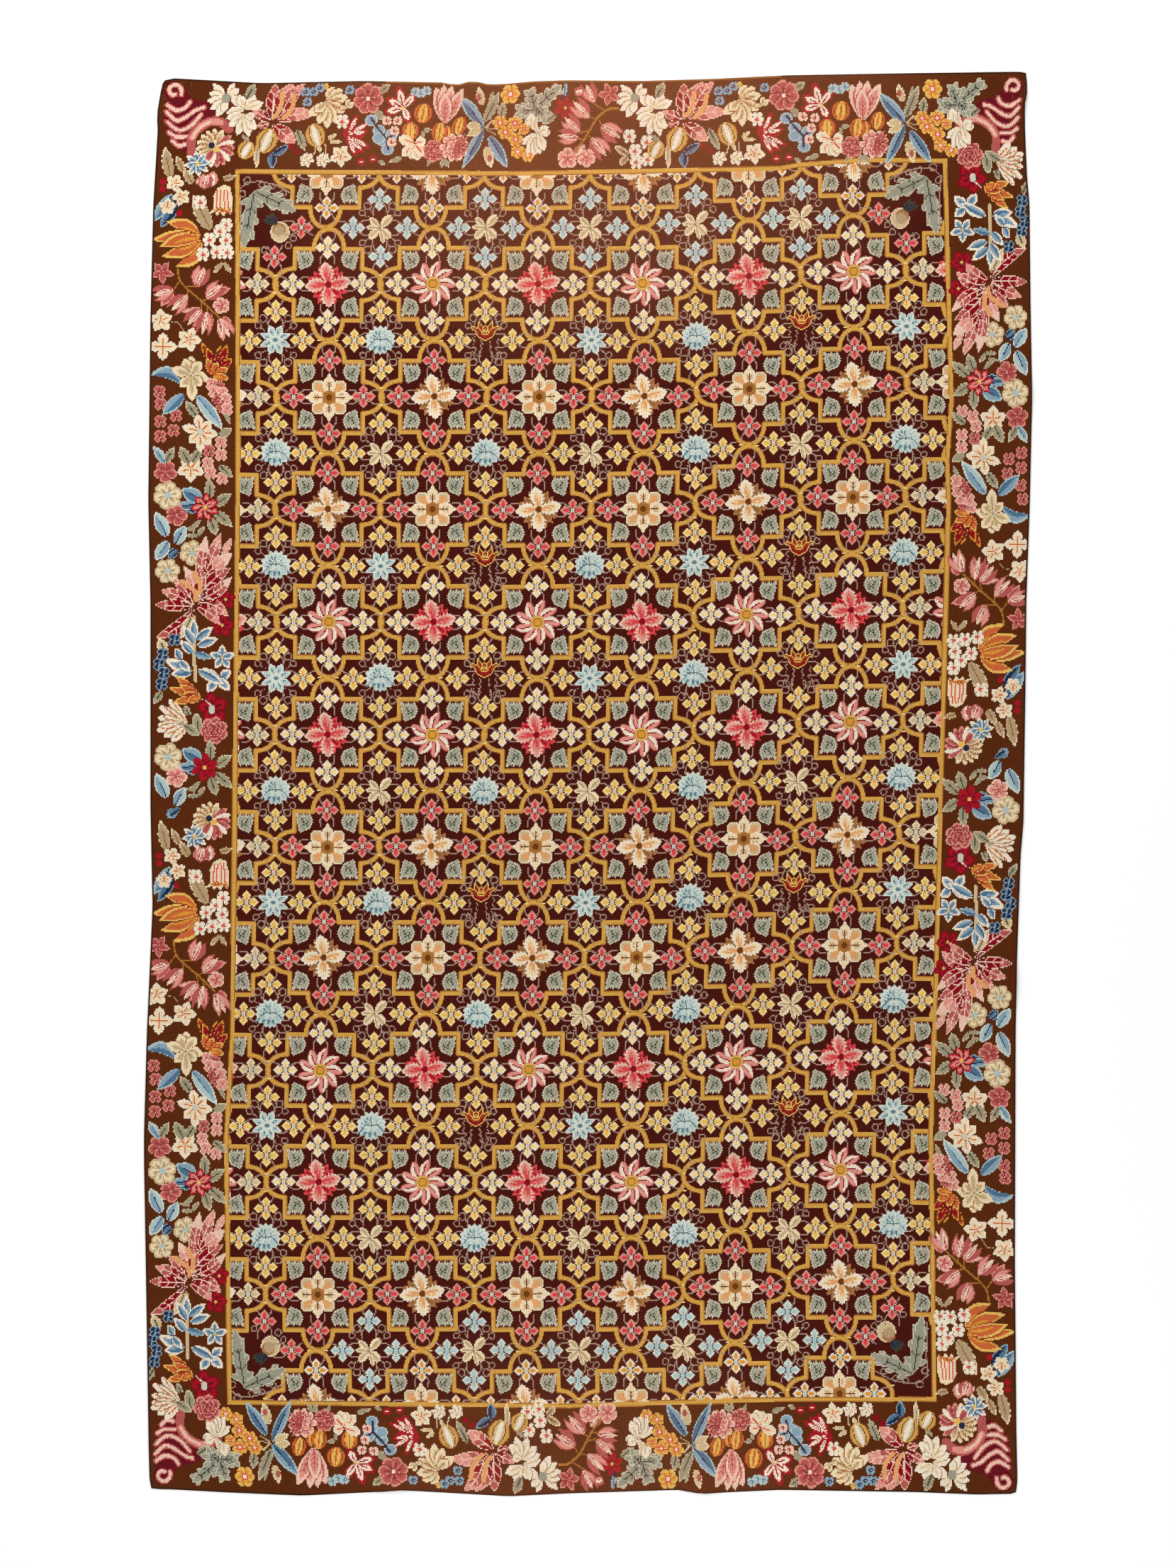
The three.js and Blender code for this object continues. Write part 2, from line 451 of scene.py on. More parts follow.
def gold_cell(at):
    """A cell's outline. It is the same in all four quarters, so one is measured for all."""
    window, x, y = around(at, LOBE_REACH[1] + STRIPE_WIDE)
    away = distance_to_path(np.abs(x), np.abs(y), outline_path())
    for wool, past in zip(("old gold", "gold"), LATTICE_SHADE):
        stitch(window, away < STRIPE_WIDE / 2 + past, wool)


def knots(at):
    """Small pale stitches in the notches where two cells meet."""
    for sign in (-1, 1):
        disc(shifted(at, LOBE_REACH[0] - 2, sign * 25), THREAD, "lemon")
        disc(shifted(at, sign * 24, -LOBE_REACH[1]), THREAD, "lemon")


print("first cell at, mm:", *(round(float(value)) for value in lattice(0, 0)))

# %% [markdown]
# ## Small flowers of the lattice
# Four-petalled flowers mark every lobe and every side of the open cells. A pair of thin stems runs
# into each, closes round its middle and opens again behind it. A flower is only some twenty stitches
# wide, so a blade would come out a little different at each place. It is charted stitch by stitch
# instead, as a quarter that is mirrored twice.

# %% Four-petalled flower and its stems
QUATREFOILS = {  # fill, rim, streak by the middle, middle
    "yellow": ("lemon", "ivory", "amber", "frost"),
    "gold": ("amber", "ivory", "honey", "frost"),
    "orange": ("honey", "lemon", "orange", "frost"),
    "pink": ("coral", "pink", "red", "frost"),
    "blue": ("ice", "pale ice", "sky", "ice"),
    "oat": ("oat", "cream", "taupe", "frost"),
}
FLOWER_QUARTER = (  # upper left quarter: r rim, f fill, s streak, m middle, k and w by the stems
    "..........r",
    ".........rr",
    "........rrf",
    ".......rrff",
    ".......rrff",
    "........rff",
    "...rr..wrfs",
    "..rrrrrk.rs",
    ".rrffffrkmm",
    "rrfffffssmm",
)
STEM_APART = 19.5


STEM_WAIST = ((STEM_APART, -28), (8, -9), (8, 9), (STEM_APART, 28))  # mm apart, mm along


def stems(at, upright, before, behind, way=1):
    """Pair of stems through a small flower: before and behind say how far they run each way."""
    path = ((STEM_APART, -before), *STEM_WAIST, (STEM_APART, behind))
    for sign in (-1, 1):
        offsets = [(sign * off, way * along) for off, along in path]
        line([shifted(at, *(offset if upright else offset[::-1])) for offset in offsets], "tendril")


def whole(part):
    """Left half of a drawing, with its right half."""
    return [letters + letters[-2::-1] for letters in part]


def quatrefoil(at, kind):
    half = whole(FLOWER_QUARTER)
    charted(at, half + half[-2::-1], dict(zip("frsmkw", (*QUATREFOILS[kind], "spruce", "frost"))))


print("wide of a small flower, stitches:", len(whole(FLOWER_QUARTER)[0]))

# %% Leaves in the corners of a cell
LEAF_OFF = (63.0, 64.0)  # mm from the middle of the cell
LEAF = (  # ragged leaf that points up and right: p rim, s leaf, v vein
    "...p....p....pp",
    "..pp.p.pp.p.ppp",
    "..psppsppppspsp",
    ".ppssspsspsssp.",
    ".psspssssvspsp.",
    "ppssssspsvssspp",
    ".pspvsssvsspsp.",
    "ppssvspvvssssp.",
    ".psssvvssspssp.",
    ".ppssvpvvsssp..",
    "..psvsssssspp..",
    "..ppssspssssp..",
    "...pppsvspsp...",
    ".....pppssspp..",
    "........ppsp...",
    "..........p....",
)


def corner_leaf(at, side, end):
    """Broad ragged leaf pointing out to a corner of the cell."""
    charted(shifted(at, side * LEAF_OFF[0], end * LEAF_OFF[1]), LEAF,
            {"p": "pale sage", "s": "sage", "v": "spruce"}, right=side, up=end)


# %% [markdown]
# ## Flowers in the middle of a cell
# Four kinds take turns: a ragged pink one, a pinwheel, a cream sunflower and a ragged cream one.
# They are rings of blades. The ones that are drawn last lie on top, as the nearest petals do.

# %% Ragged flower, pinwheel and sunflower
RAGGED = {  # rim, petal, streak, back petal, its shadow, middle
    "pink": ("shell", "pink", "coral", "coral", "red", "crimson"),
    "cream": ("ivory", "cream", "peach", "fawn", "olive", "bark"),
}


def ragged_flower(at, kind):
    """Four broad petals with torn edges, on four sets of three narrow ones."""
    rim, fill, streak, back, shadow, middle = RAGGED[kind]
    for turn in (40, 140, 222, 316):
        for spread, length in ((-24, 55), (22, 57), (0, 52)):
            blade(at, turn + spread, length, 17, back, start=4, belly=0.62, tip=1.0)
            blade(at, turn + spread, length * 0.74, 9, shadow, start=6, belly=0.62)
    for turn in (93, 5, 180, 268):
        for share, wool in ((1, rim), (0.72, fill), (0.4, streak)):
            blade(at, turn, 61 * (0.55 + 0.45 * share), 46 * share, wool, start=3, belly=0.56,
                  teeth=6, depth=0.34, bend=0.1, tip=0.8)
        blade(at, turn, 48, 8, fill, start=12, belly=0.6, bend=0.1)
        blade(at, turn, 44, 4, streak, start=4, bend=0.1)
    disc(at, 9.5, middle)


def pinwheel(at):
    """Petals bent like sails: one side pink, one side white, with a crimson line between."""
    count = 9
    for k in range(count):
        turn = 360 / count * k + 12
        blade(at, turn, 53, 30, "rose", start=11, belly=0.6, bend=-0.34, tip=0.8)
        blade(at, turn, 51, 26, "pink", vein="crimson", start=11, belly=0.6, bend=-0.34,
              side="ivory", tip=0.8, rim=0)
    disc(at, 20, "honey", "gold")
    disc(at, 13.5, "olive")
    disc(at, 10.5, "amber")


def sunflower(at):
    """Four cream pointed petals with brown arrows, on four broader tan ones."""
    for turn in (45, 135, 225, 315):
        blade(at, turn, 58, 40, "oat", "cream", start=6, belly=0.6, blunt=0.6, tip=1.0, rim=4.5)
        blade(at, turn, 45, 25, "peach", start=6, belly=0.6, blunt=0.6)
    for turn in (0, 90, 180, 270):
        blade(at, turn, 57, 36, "cream", "ivory", start=10, belly=0.45, blunt=0.45, tip=1.0, rim=2)
        blade(at, turn, 25, THREAD, "bark", start=19, blunt=0.1)
        for reach in (26, 34):
            for fork in (-48, 48):
                blade(around_circle(at, reach, turn), turn + fork, 10, THREAD, "fawn", blunt=0.1)
    disc(at, 20, "old gold", "fawn")
    disc(at, 9, "bark")


# %% [markdown]
# ## Flowers between the cells
# The open cells hold a pale blue star, a pale blue shell-like bloom, a taupe spray of leaves, or a
# small fire-red tulip on curly foliage. The tulip has hard corners that no petal shape gives, so it
# is charted like the small flowers, and mirrored.

# %% Star, shell, spray and tulip
def star_flower(at):
    """Eight pale pointed petals, eight small ones inside them, and a dark middle."""
    for k in range(8):
        turn = 22.5 + 45 * k
        blade(at, turn, 42, 22, "pale ice", start=3, belly=0.55, tip=0.9, teeth=3, depth=0.2)
        blade(at, turn, 32, 11, "ice", start=5, belly=0.6)
        blade(at, turn + 6, 28, 4, "teal", start=5)
    disc(at, 14, "teal")
    for k in range(8):
        blade(at, 45 * k, 20, 10, "pale ice", start=3, belly=0.6, tip=0.9)
    disc(at, 7, "teal")


def shell_flower(at):
    """Fan of ragged pale petals over a dark arch, and a cup below it."""
    for turn in (-24, 204, -2, 182, 20, 160, 44, 136, 68, 112, 90):
        blade(at, turn, 42, 20, "pale ice", start=2, belly=0.6, tip=0.8, teeth=3, depth=0.25)
        blade(at, turn, 30, 7, "ice", start=4, belly=0.6)
        blade(at, turn + 7, 22, THREAD, "teal", start=6, blunt=0.1)
    for turn in (218, 322, 248, 292, 270):
        blade(at, turn, 40, 21, "ice", "pale ice", start=0, belly=0.6, tip=0.8)
    for x, y, tip_x, tip_y in ((-12, -14, -22, -26), (-2, -14, -4, -30), (8, -14, 12, -28)):
        turn = math.degrees(math.atan2(tip_y - y, tip_x - x))
        blade(shifted(at, x, y), turn, 15, 9, "teal", teeth=2)
    arch = [(-40, -24), (-30, -13), (-18, 0), (-8, 3), (8, 3), (18, 0), (30, -11), (36, -20)]
    line([shifted(at, x, y) for x, y in arch], "teal", width=2)


SPRAY_LEAVES = ((135, 40, 19), (178, 38, 15), (226, 42, 24), (316, 42, 26), (284, 46, 13),
                (48, 46, 25))  # turn, length, width


def spray(at):
    """Six taupe leaves of different sizes round a middle."""
    for turn, length, width in SPRAY_LEAVES:
        blade(at, turn, length, width, "oat", "cream", start=1, belly=0.58, tip=0.7, side="cream")
        blade(at, turn, length * 0.85, 4, "taupe", start=1, blunt=0.2)


TULIP = (  # left half: a outline, o cup, c shade
    ".......a.....",
    "......aa.....",
    "......aoa....",
    "......aooa..a",
    ".aaa..aoooaac",
    "aoooaaaoooacc",
    ".aaooocaooaca",
    "...aooocaoaac",
    "....aooocaaaa",
    "....acoooaooo",
    ".....accooaaa",
    ".....acccoooo",
    "......accccoo",
    ".......aacccc",
    ".........aacc",
    "...........aa",
)


def tulip(at):
    """Dark red cup with two curled wings and a crown, all in a yellow outline."""
    charted(shifted(at, 0, 26), whole(TULIP), {"a": "honey", "o": "rust", "c": "crimson"})


# %% Tendrils and the filling of an open cell
def tendrils(at):
    """Two curls in each corner of an open cell, on broken stalks."""
    for side in (-1, 1):
        for end in (-1, 1):
            def spot(dx, dy):
                return shifted(at, side * dx, end * dy)

            loop(spot(35, 62), 10, "tendril", start=200 * end)
            line([spot(26, 56), spot(21, 40)], "tendril", dash=3)
            loop(spot(50, 42), 8.5, "tendril", start=60 * side)
            line([spot(42, 36), spot(28, 27)], "tendril", dash=3)


def tulip_foliage(at):
    """Curls and wavy stalks round the tulip."""
    for side in (-1, 1):
        for end in (-1, 1):
            loop(shifted(at, side * 36, end * 62 + 2), 10, "tendril", sweep=340)
            loop(shifted(at, side * 50, end * 42), 8.5, "tendril", sweep=340)
            line([shifted(at, side * 29, end * 55), shifted(at, side * 38, end * 30),
                  shifted(at, side * 42, end * 36)], "tendril")
        wave = [(14, 0), (10, -8), (15, -16), (11, -24), (17, -30), (13, -40), (18, -48)]
        line([shifted(at, side * x, y) for x, y in wave], "tendril", dash=4)
        wave = [(30, 14), (37, 6), (30, -4), (36, -14), (28, -24), (34, -34), (22, -46), (28, -56)]
        line([shifted(at, side * x, y) for x, y in wave], "tendril", dash=3)


OPEN_FLOWER = {"A": star_flower, "B": shell_flower, "N": spray, "T": tulip}
OPEN_OFF = (76.0, 82.0)  # from the middle of an open cell to its four small flowers


def open_cell(at, kind, small):
    """Stems, foliage, four small flowers and the flower of a kind in the middle."""
    for side in (-1, 1):
        stems(shifted(at, side * OPEN_OFF[0], 0), False, 48, 38, way=side)
        stems(shifted(at, 0, side * OPEN_OFF[1]), True, 48, 38, way=side)
    if kind == "T":
        tulip_foliage(at)
    else:
        tendrils(at)
    for side in (-1, 1):
        quatrefoil(shifted(at, side * OPEN_OFF[0], 0), small)
        quatrefoil(shifted(at, 0, side * OPEN_OFF[1]), small)
    OPEN_FLOWER[kind](at)


# %% [markdown]
# ## Filling the field
# Rows of cells are worked from the top. The first and the last row, and the outermost columns, are
# cut by the gold stripe, so they're drawn whole here and the border covers what is outside. Strings
# of letters say which flower stands where, because the eye checks them against the rug at a glance.

# %% Draw the field
CELL_FLOWERS = ("PWPWPW", "SCSCSC", "CSCSCS", "WPWPWP")  # repeats down the rows
# A star, B shell, N spray, T tulip
OPEN_ROWS = ("ABTABTA", "BNBNBNB", "BATBATB", "ABTABTA", "BNBNBNB", "ABTABTA", "BNBNBNB",
             "ABTABTA", "BNBNBNB")
SMALL_OFF = (98, 103)  # mm from the middle of a cell to its four small flowers
CELL_FLOWER = {
    "P": lambda at: ragged_flower(at, "pink"),
    "W": pinwheel,
    "S": sunflower,
    "C": lambda at: ragged_flower(at, "cream"),
}


def big_cell(at, flower, small, side_small):
    """A gold cell with its four small flowers, four leaves and the flower in the middle."""
    gold_cell(at)
    for sign in (-1, 1):
        above, beside = shifted(at, 0, sign * SMALL_OFF[1]), shifted(at, sign * SMALL_OFF[0], 0)
        stems(above, True, 46, 44)
        stems(beside, False, 42, 44)
        quatrefoil(above, small)
        quatrefoil(beside, side_small)
        for end in (-1, 1):
            corner_leaf(at, sign, end)
    CELL_FLOWER[flower](at)


def draw_field():
    chart[:] = WOOL_NUMBER["maroon"]
    for row in range(-1, CELL_ROWS + 1):
        cut_row = row in (-1, CELL_ROWS)
        for column in range(-1, CELL_COLUMNS + 1):
            cut_column = column in (-1, CELL_COLUMNS)
            if cut_row and cut_column:
                continue
            flower = CELL_FLOWERS[row % 4][column % 6]
            small = "yellow" if flower in "PW" else "pink"
            if cut_row:
                flower, small = ("S" if (row + column) % 2 else "C"), "gold"
            big_cell(lattice(column, row), flower, small, "oat" if cut_column else small)
    for row in range(CELL_ROWS + 1):
        for column in range(CELL_COLUMNS + 1):
            knots(lattice(column - 1, row))
            at = lattice(column - 0.5, row - 0.5)
            if row in (0, CELL_ROWS):
                if 0 < column < CELL_COLUMNS:
                    open_cell(at, "N", "blue")
            else:
                open_cell(at, OPEN_ROWS[row - 1][column], "orange")


draw_field()
print("wools used in the field:", len(np.unique(chart)))

# %% [markdown]
# ## The border's leaves and flowers
# The border is drawn from a few kinds of petal. Each kind is a set of coats, one inside the other,
# from the rim inwards. Leaves and buds are single petals from a base to a tip, and a bloom is a ring of
# petals round a middle. Where petals of one kind overlap, the upper one gets a shadow, because with
# flat wools that line is all that tells one petal from the next.

# %% Coats of the petals
COATS = {  # wools from the rim inwards, each with its share of the width
    "ice leaf": (("pale ice", 1), ("ice", 0.8)),
    "sky leaf": (("ice", 1), ("sky", 0.8)),
    "blue leaf": (("ivory", 1), ("sky", 0.66)),
    "deep leaf": (("sky", 1), ("blue", 0.8)),
    "sage leaf": (("stone", 1), ("lichen", 0.78)),
    "olive leaf": (("cream", 1), ("taupe", 0.82)),
    "oat leaf": (("cream", 1), ("oat", 0.7)),
    "pink bud": (("pink", 1), ("ivory", 0.6), ("rose", 0.25)),
    "white": (("ivory", 1), ("cream", 0.4)),
    "milk": (("ivory", 1),),
    "oat": (("cream", 1), ("oat", 0.5)),
    "tan": (("cream", 1), ("oat", 0.6), ("fawn", 0.16)),
    "lined": (("ivory", 1), ("cream", 0.7), ("orange", 0.14)),
    "rose": (("pink", 1), ("rose", 0.72), ("wine", 0.16)),
    "pale rose": (("shell", 1), ("pink", 0.66), ("rose", 0.16)),
    "blush": (("pink", 1), ("shell", 0.5)),
    "taupe": (("oat", 1), ("cream", 0.66), ("taupe", 0.2)),
    "coral": (("crimson", 1), ("coral", 0.84), ("pink", 0.56), ("crimson", 0.12)),
    "red": (("red", 1), ("crimson", 0.2)),
    "berry": (("crimson", 1), ("red", 0.7), ("garnet", 0.2)),
    "navy": (("sky", 1), ("navy", 0.7)),
    "star": (("ivory", 1), ("sky", 0.6), ("blue", 0.22)),
    "gold": (("honey", 1), ("amber", 0.5)),
    "flame": (("honey", 1), ("orange", 0.76), ("amber", 0.24)),
    "fire": (("amber", 1), ("rust", 0.8), ("crimson", 0.6), ("orange", 0.2)),
    "scarlet": (("red", 1), ("ivory", 0.6), ("red", 0.14)),
    "cap": (("spruce", 1), ("navy", 0.5)),
}
# wool of a leaf's shaded half
HALVES = {"ice leaf": "sky", "sky leaf": "blue", "blue leaf": "blue", "deep leaf": "navy"}
# wool between a petal and the one under it
SHADOWS = {"rose": "wine", "pale rose": "rose", "blush": "rose", "taupe": "taupe", "red": "garnet",
           "berry": "garnet", "lined": "oat", "white": "taupe", "oat": "fawn", "tan": "fawn",
           "milk": "oat", "gold": "orange", "flame": "rust", "fire": "garnet", "star": "blue",
           "coral": "garnet"}
SHADOW_PAST = (2, 7)  # mm that a shadow is longer and wider than its petal
print("coats:", len(COATS))


# %% Petal from a base to a tip
def heading(base, tip):
    """Turn in degrees and length from one place to another."""
    dx, dy = tip[0] - base[0], tip[1] - base[1]
    return math.degrees(math.atan2(dy, dx)), math.hypot(dx, dy)


def between(base, tip, share):
    return (mix(base[0], tip[0], share), mix(base[1], tip[1], share))


def petal(base, tip, width, coat, bow=0.0, belly=0.5, blunt=0.55, teeth=0, vein=None, ribs=0,
          point=None):
    """Petal or leaf from a base to a tip, with a shadow on the petals of its kind beneath it."""
    turn, length = heading(base, tip)
    coats = COATS[coat]
    if coat in SHADOWS:
        longer, wider = SHADOW_PAST
        blade(base, turn, length + longer, width + wider, SHADOWS[coat], belly=belly, blunt=blunt,
              tip=point, bow=bow, over=[wool for wool, share in coats])
    for number, (wool, share) in enumerate(coats):
        thin = 0.55 + 0.45 * share
        blade(base, turn, length * thin, width * share, wool, belly=belly, blunt=blunt, bow=bow,
              teeth=0 if number else teeth, depth=0.22, tip=point,
              side=HALVES.get(coat) if number == 1 else None)
    if vein:
        blade(base, turn, length * 0.85, width * 0.8, None, vein=vein, ribs=ribs, belly=belly,
              bow=bow, rim=2)


# %% Blooms
BLOOMS = {  # petals, width of one, coat, belly, roundness of base and tip, middle and its share
    "lined": (5, 0.7, "lined", 0.54, 0.7, 0.95, "orange", 0.08),
    "lined four": (4, 0.74, "lined", 0.54, 0.7, 0.95, "orange", 0.08),
    "rose": (5, 0.92, "rose", 0.66, 0.5, 0.42, "frost", 0.1),
    "pale rose": (5, 0.92, "pale rose", 0.66, 0.5, 0.42, "rose", 0.16),
    "ragged rose": (7, 0.74, "rose", 0.68, 0.5, 0.6, "ivory", 0.15),
    "taupe": (6, 0.82, "taupe", 0.68, 0.5, 0.42, "ice", 0.2),
    "pale carnation": (9, 0.5, "pale rose", 0.68, 0.6, 0.9, "pink", 0.2),
    "poinsettia": (7, 0.58, "coral", 0.5, 0.7, 1.0, "honey", 0.14),
    "red": (6, 0.6, "red", 0.5, 0.7, 1.1, "honey", 0.14),
    "red five": (5, 0.8, "berry", 0.55, 0.6, 0.85, "honey", 0.12),
    "star": (8, 0.46, "star", 0.5, 0.7, 1.0, "honey", 0.16),
    "star five": (5, 0.58, "star", 0.5, 0.7, 1.1, "honey", 0.1),
    "gold": (6, 0.86, "gold", 0.64, 0.5, 0.42, "ivory coral", 0.2),
    "rose star": (5, 0.62, "rose", 0.45, 0.8, 1.0, "rose", 0.1),
}
# p rim, r petal, x shade, c middle
FOUR_PETALS = (
    "..ppp.pp..",
    ".prrrpprp.",
    "prrrrxrrrp",
    "prrrxprrrp",
    ".pprxxrrp.",
    ".prrxcxpp.",
    "prrrpxrrrp",
    "prrrpxrrrp",
    ".prrp.prp.",
    "..pp...p..",
)
FIVE_PETALS = (
    "..ppp.ppp..",
    ".ppppppppp.",
    ".pppprpppp.",
    "..ppprppp.p",
    "pppprxrpppp",
    "pppprxxxppp",
    "ppprxxxrppp",
    ".pppprprpp.",
    "..ppp.ppp..",
    ".pppp.pppp.",
    "..pp...pp..",
)
DOT_PETALS = (
    "..pp.pp.",
    ".pppppp.",
    "ppprxppp",
    ".pxcxrpp",
    "pprxxppp",
    "pppppppp",
    ".pp.ppp.",
)
SMALL_BLOOMS = {  # drawing, wools of its rim, petals, shade and middle
    "four rose": (FOUR_PETALS, "pink", "rose", "garnet", "cream"),
    "four pink": (FOUR_PETALS, "shell", "pink", "rose", "ivory"),
    "navy": (FOUR_PETALS, "sky", "navy", "blue", "frost"),
    "small navy": (DOT_PETALS, "sky", "navy", "navy", "frost"),
    "small white": (FIVE_PETALS, "ivory", "oat", "coral", "cream"),
    "forget": (DOT_PETALS, "ice", "sky", "blue", "pale ice"),
    "dotted": (DOT_PETALS, "shell", "pink", "crimson", "cream"),
}


def bloom(at, reach, kind, turn):
    """Flower of a kind: charted if it is small, and a ring of petals otherwise."""
    if kind in SMALL_BLOOMS:
        drawing, *wools = SMALL_BLOOMS[kind]
        charted(at, drawing, dict(zip("prxc", wools)), right=1 if turn % 4 < 2 else -1)
        return
    count, wide, coat, belly, blunt, point, middle, share = BLOOMS[kind]
    for k in range(count):
        tip = around_circle(at, reach, turn + 360 / count * k)
        petal(at, tip, reach * wide, coat, belly=belly, blunt=blunt, point=point)
    wool, *ring = middle.split()
    for rim in ring:
        disc(at, reach * share + THREAD, rim)
    disc(at, max(reach * share, 2.5), wool)


def fan(at, tips, width, coat, vein=None):
    """Petals from one place to several tips, given as offsets."""
    for dx, dy in tips:
        petal(at, shifted(at, dx, dy), width * 0.88, coat, vein=vein, blunt=0.6, belly=0.6, point=1.0)


print("kinds of bloom:", len(BLOOMS) + len(SMALL_BLOOMS))


# %% [markdown]
# ## Guard stripe and border ground
# A gold stripe parts the field from the border and wanders a little with the cloth. Outside it all
# is brown ground. Each corner of the field holds two oak leaves and an acorn. The stripe is found by
# distance, as the gold of the cells is, so it keeps its width where it bends.

# %% Corners of the field
def oak_leaf(base, tip, width):
    """Toothed leaf with three pairs of lobes, under a smooth middle with its veins."""
    turn, length = heading(base, tip)
    for share, spread in ((0.15, 62), (0.15, -62), (0.4, 48), (0.4, -48), (0.65, 34), (0.65, -34)):
        start = between(base, tip, share)
        blade(start, turn + spread, width * 0.6, width * 0.36, "sage", "pale sage")
    blade(base, turn, length, width * 0.72, "sage", "pale sage", teeth=7, depth=0.25)
    blade(base, turn, length * 0.86, width * 0.56, "sage", vein="spruce", ribs=3, rim=1)


def acorn_cell(at, side, end):
    """Corner of the field: two oak leaves, an acorn, two small flowers and curling tendrils."""
    def spot(dx, dy):
        return shifted(at, side * dx, end * dy)

    oak_leaf(spot(-60, -106), spot(60, -50), 60)
    oak_leaf(spot(-58, -104), spot(-84, 58), 60)
    disc(spot(16, 13), 27, "oat", "cream", tall=1.1)
    disc(spot(10, 4), 18, "fawn")
    disc(spot(12, 10), 15, "taupe")
    for dx, dy in ((-34, -24), (-26, -36), (-12, -42)):
        petal(spot(4, -10), spot(dx, dy), 16, "cap", blunt=0.5)
    curl = [(-96, 40), (-96, -60), (-100, -108), (-78, -128), (-40, -132), (10, -118), (50, -96)]
    line([spot(*place) for place in curl], "tendril")
    for place, radius in (((-77, -133), 10), ((-92, -96), 9), ((-37, -122), 8), ((-8, -118), 8),
                          ((24, -98), 8), ((38, 50), 9), ((52, 30), 8), ((-30, 62), 8)):
        loop(spot(*place), radius, "tendril")
    stems(spot(76, 0), False, 50, 30)
    stems(spot(0, 82), True, 50, 30)
    quatrefoil(spot(76, 0), "pink")
    quatrefoil(spot(0, 82), "pink")


for row, end in ((0, -1), (CELL_ROWS, 1)):
    for column, side in ((0, 1), (CELL_COLUMNS, -1)):
        acorn_cell(lattice(column - 0.5, row - 0.5), side, end)

# %% Stripe and ground
# columns: y, x of the stripe's middle there
STRIPE_LEFT = ((-1744, -1011), (-1108, -1019), (-1008, -1021), (-708, -1003), (912, -987),
               (1728, -989))
STRIPE_RIGHT = ((-1735, 977), (-988, 967), (-562, 981), (-108, 993), (798, 1017), (912, 1013),
                (1082, 1025), (1758, 1007))
# columns: x, y of the stripe's middle there
STRIPE_BOTTOM = ((-1011, -1744), (-57, -1754), (541, -1736), (977, -1735))
STRIPE_TOP = ((-989, 1728), (-195, 1722), (149, 1729), (541, 1736), (593, 1746), (777, 1760),
              (1007, 1758))
STRIPE_SHADE = (0.5, -1.5)  # mm that the dark edge and the gold reach past half the stripe's width


def draw_stripe():
    across, up = (np.arange(COLUMNS) + 0.5) / COLUMNS, (np.arange(ROWS) + 0.5) / ROWS
    x, y = cloth_point(*np.meshgrid(across, up))
    inside = np.minimum.reduce([
        x - np.interp(y, *zip(*STRIPE_LEFT)), np.interp(y, *zip(*STRIPE_RIGHT)) - x,
        y - np.interp(x, *zip(*STRIPE_BOTTOM)), np.interp(x, *zip(*STRIPE_TOP)) - y])
    chart[inside < 0] = WOOL_NUMBER["umber"]
    for wool, past in zip(("old gold", "gold"), STRIPE_SHADE):
        chart[np.abs(inside) < STRIPE_WIDE / 2 + past] = WOOL_NUMBER[wool]


draw_stripe()
print("share of the rug that is border ground:", round(float((chart == WOOL_NUMBER["umber"]).mean()), 3))

# %% [markdown]
# ## The horns of plenty
# A horn curls in each corner, its narrow end wound into a scroll, with pink bands on dark red. Its
# mouth is a broad rose arc, and the border's flowers seem to spill from it. Its body is an area with
# a smooth outline, and its bands are wide lines with a thin light one on them for roundness.

# %% Horn
HORN_BODY = ((-22, -4), (-24, -82), (-17, -128), (0, -152), (34, -172), (52, -166), (60, -128),
             (84, -102), (116, -74), (112, -58), (90, -34), (44, -22), (24, 8))
HORN_BANDS = (
    ((-20, -38), (6, -54), (32, -46), (44, -30)),
    ((-22, -58), (6, -82), (34, -72), (60, -54), (84, -46)),
    ((-20, -86), (12, -110), (46, -98), (76, -66)),
    ((-16, -116), (4, -128), (34, -128)),
    ((-6, -140), (12, -154), (30, -150)),
)
HORN_MOUTH = ((50, -176), (50, -132), (70, -104), (102, -86), (132, -88), (154, -106))
SCROLL_REACH = 21


def horn(at, end):
    """Horn of plenty wound round a place. It opens to the right, and down or up as end says."""
    def spots(points):
        return [shifted(at, x, end * y) for x, y in points]

    area(smooth(spots(HORN_BODY)), "garnet")
    disc(at, 27, "garnet")
    for band in HORN_BANDS:
        line(smooth(spots(band)), "rose", width=13)
        line(smooth(spots(band)), "shell", width=5.5)
    scroll = [(SCROLL_REACH * math.cos(a) * (1 - a / 9), SCROLL_REACH * math.sin(a) * (1 - a / 9) * 1.05)
              for a in np.linspace(-0.4, 5.2, 30)]
    line(spots(scroll), "rose", width=12)
    line(spots(scroll), "shell", width=6)
    line(smooth(spots(HORN_MOUTH)), "rose", width=23)
    line(smooth(spots(HORN_MOUTH[1:-1])), "pink", width=13)
    line(smooth(spots(HORN_MOUTH[1:-2])), "shell", width=5)


# %% [markdown]
# ## Large flowers of the border
# Tulips, a white bell, carnations, a peony, long feather-like leaflets and ribbed fruit are each made
# from the same petals, so one function apiece says how they are put together.

# %% Tulip, bell, carnation and peony
BELL = ((-22, -30), (-26, 10), (-14, 34), (4, 42), (20, 36), (28, 8), (30, -28), (24, -44), (14, -34),
        (6, -48), (-4, -36), (-14, -50), (-18, -36), (-36, -40), (-28, -30))


def tulip_fan(base, tips, width, coat):
    """Toothed petals from one base to several tips, given as offsets."""
    for dx, dy in tips:
        petal(base, shifted(base, dx, dy), width, coat, belly=0.55, teeth=6, point=0.85)


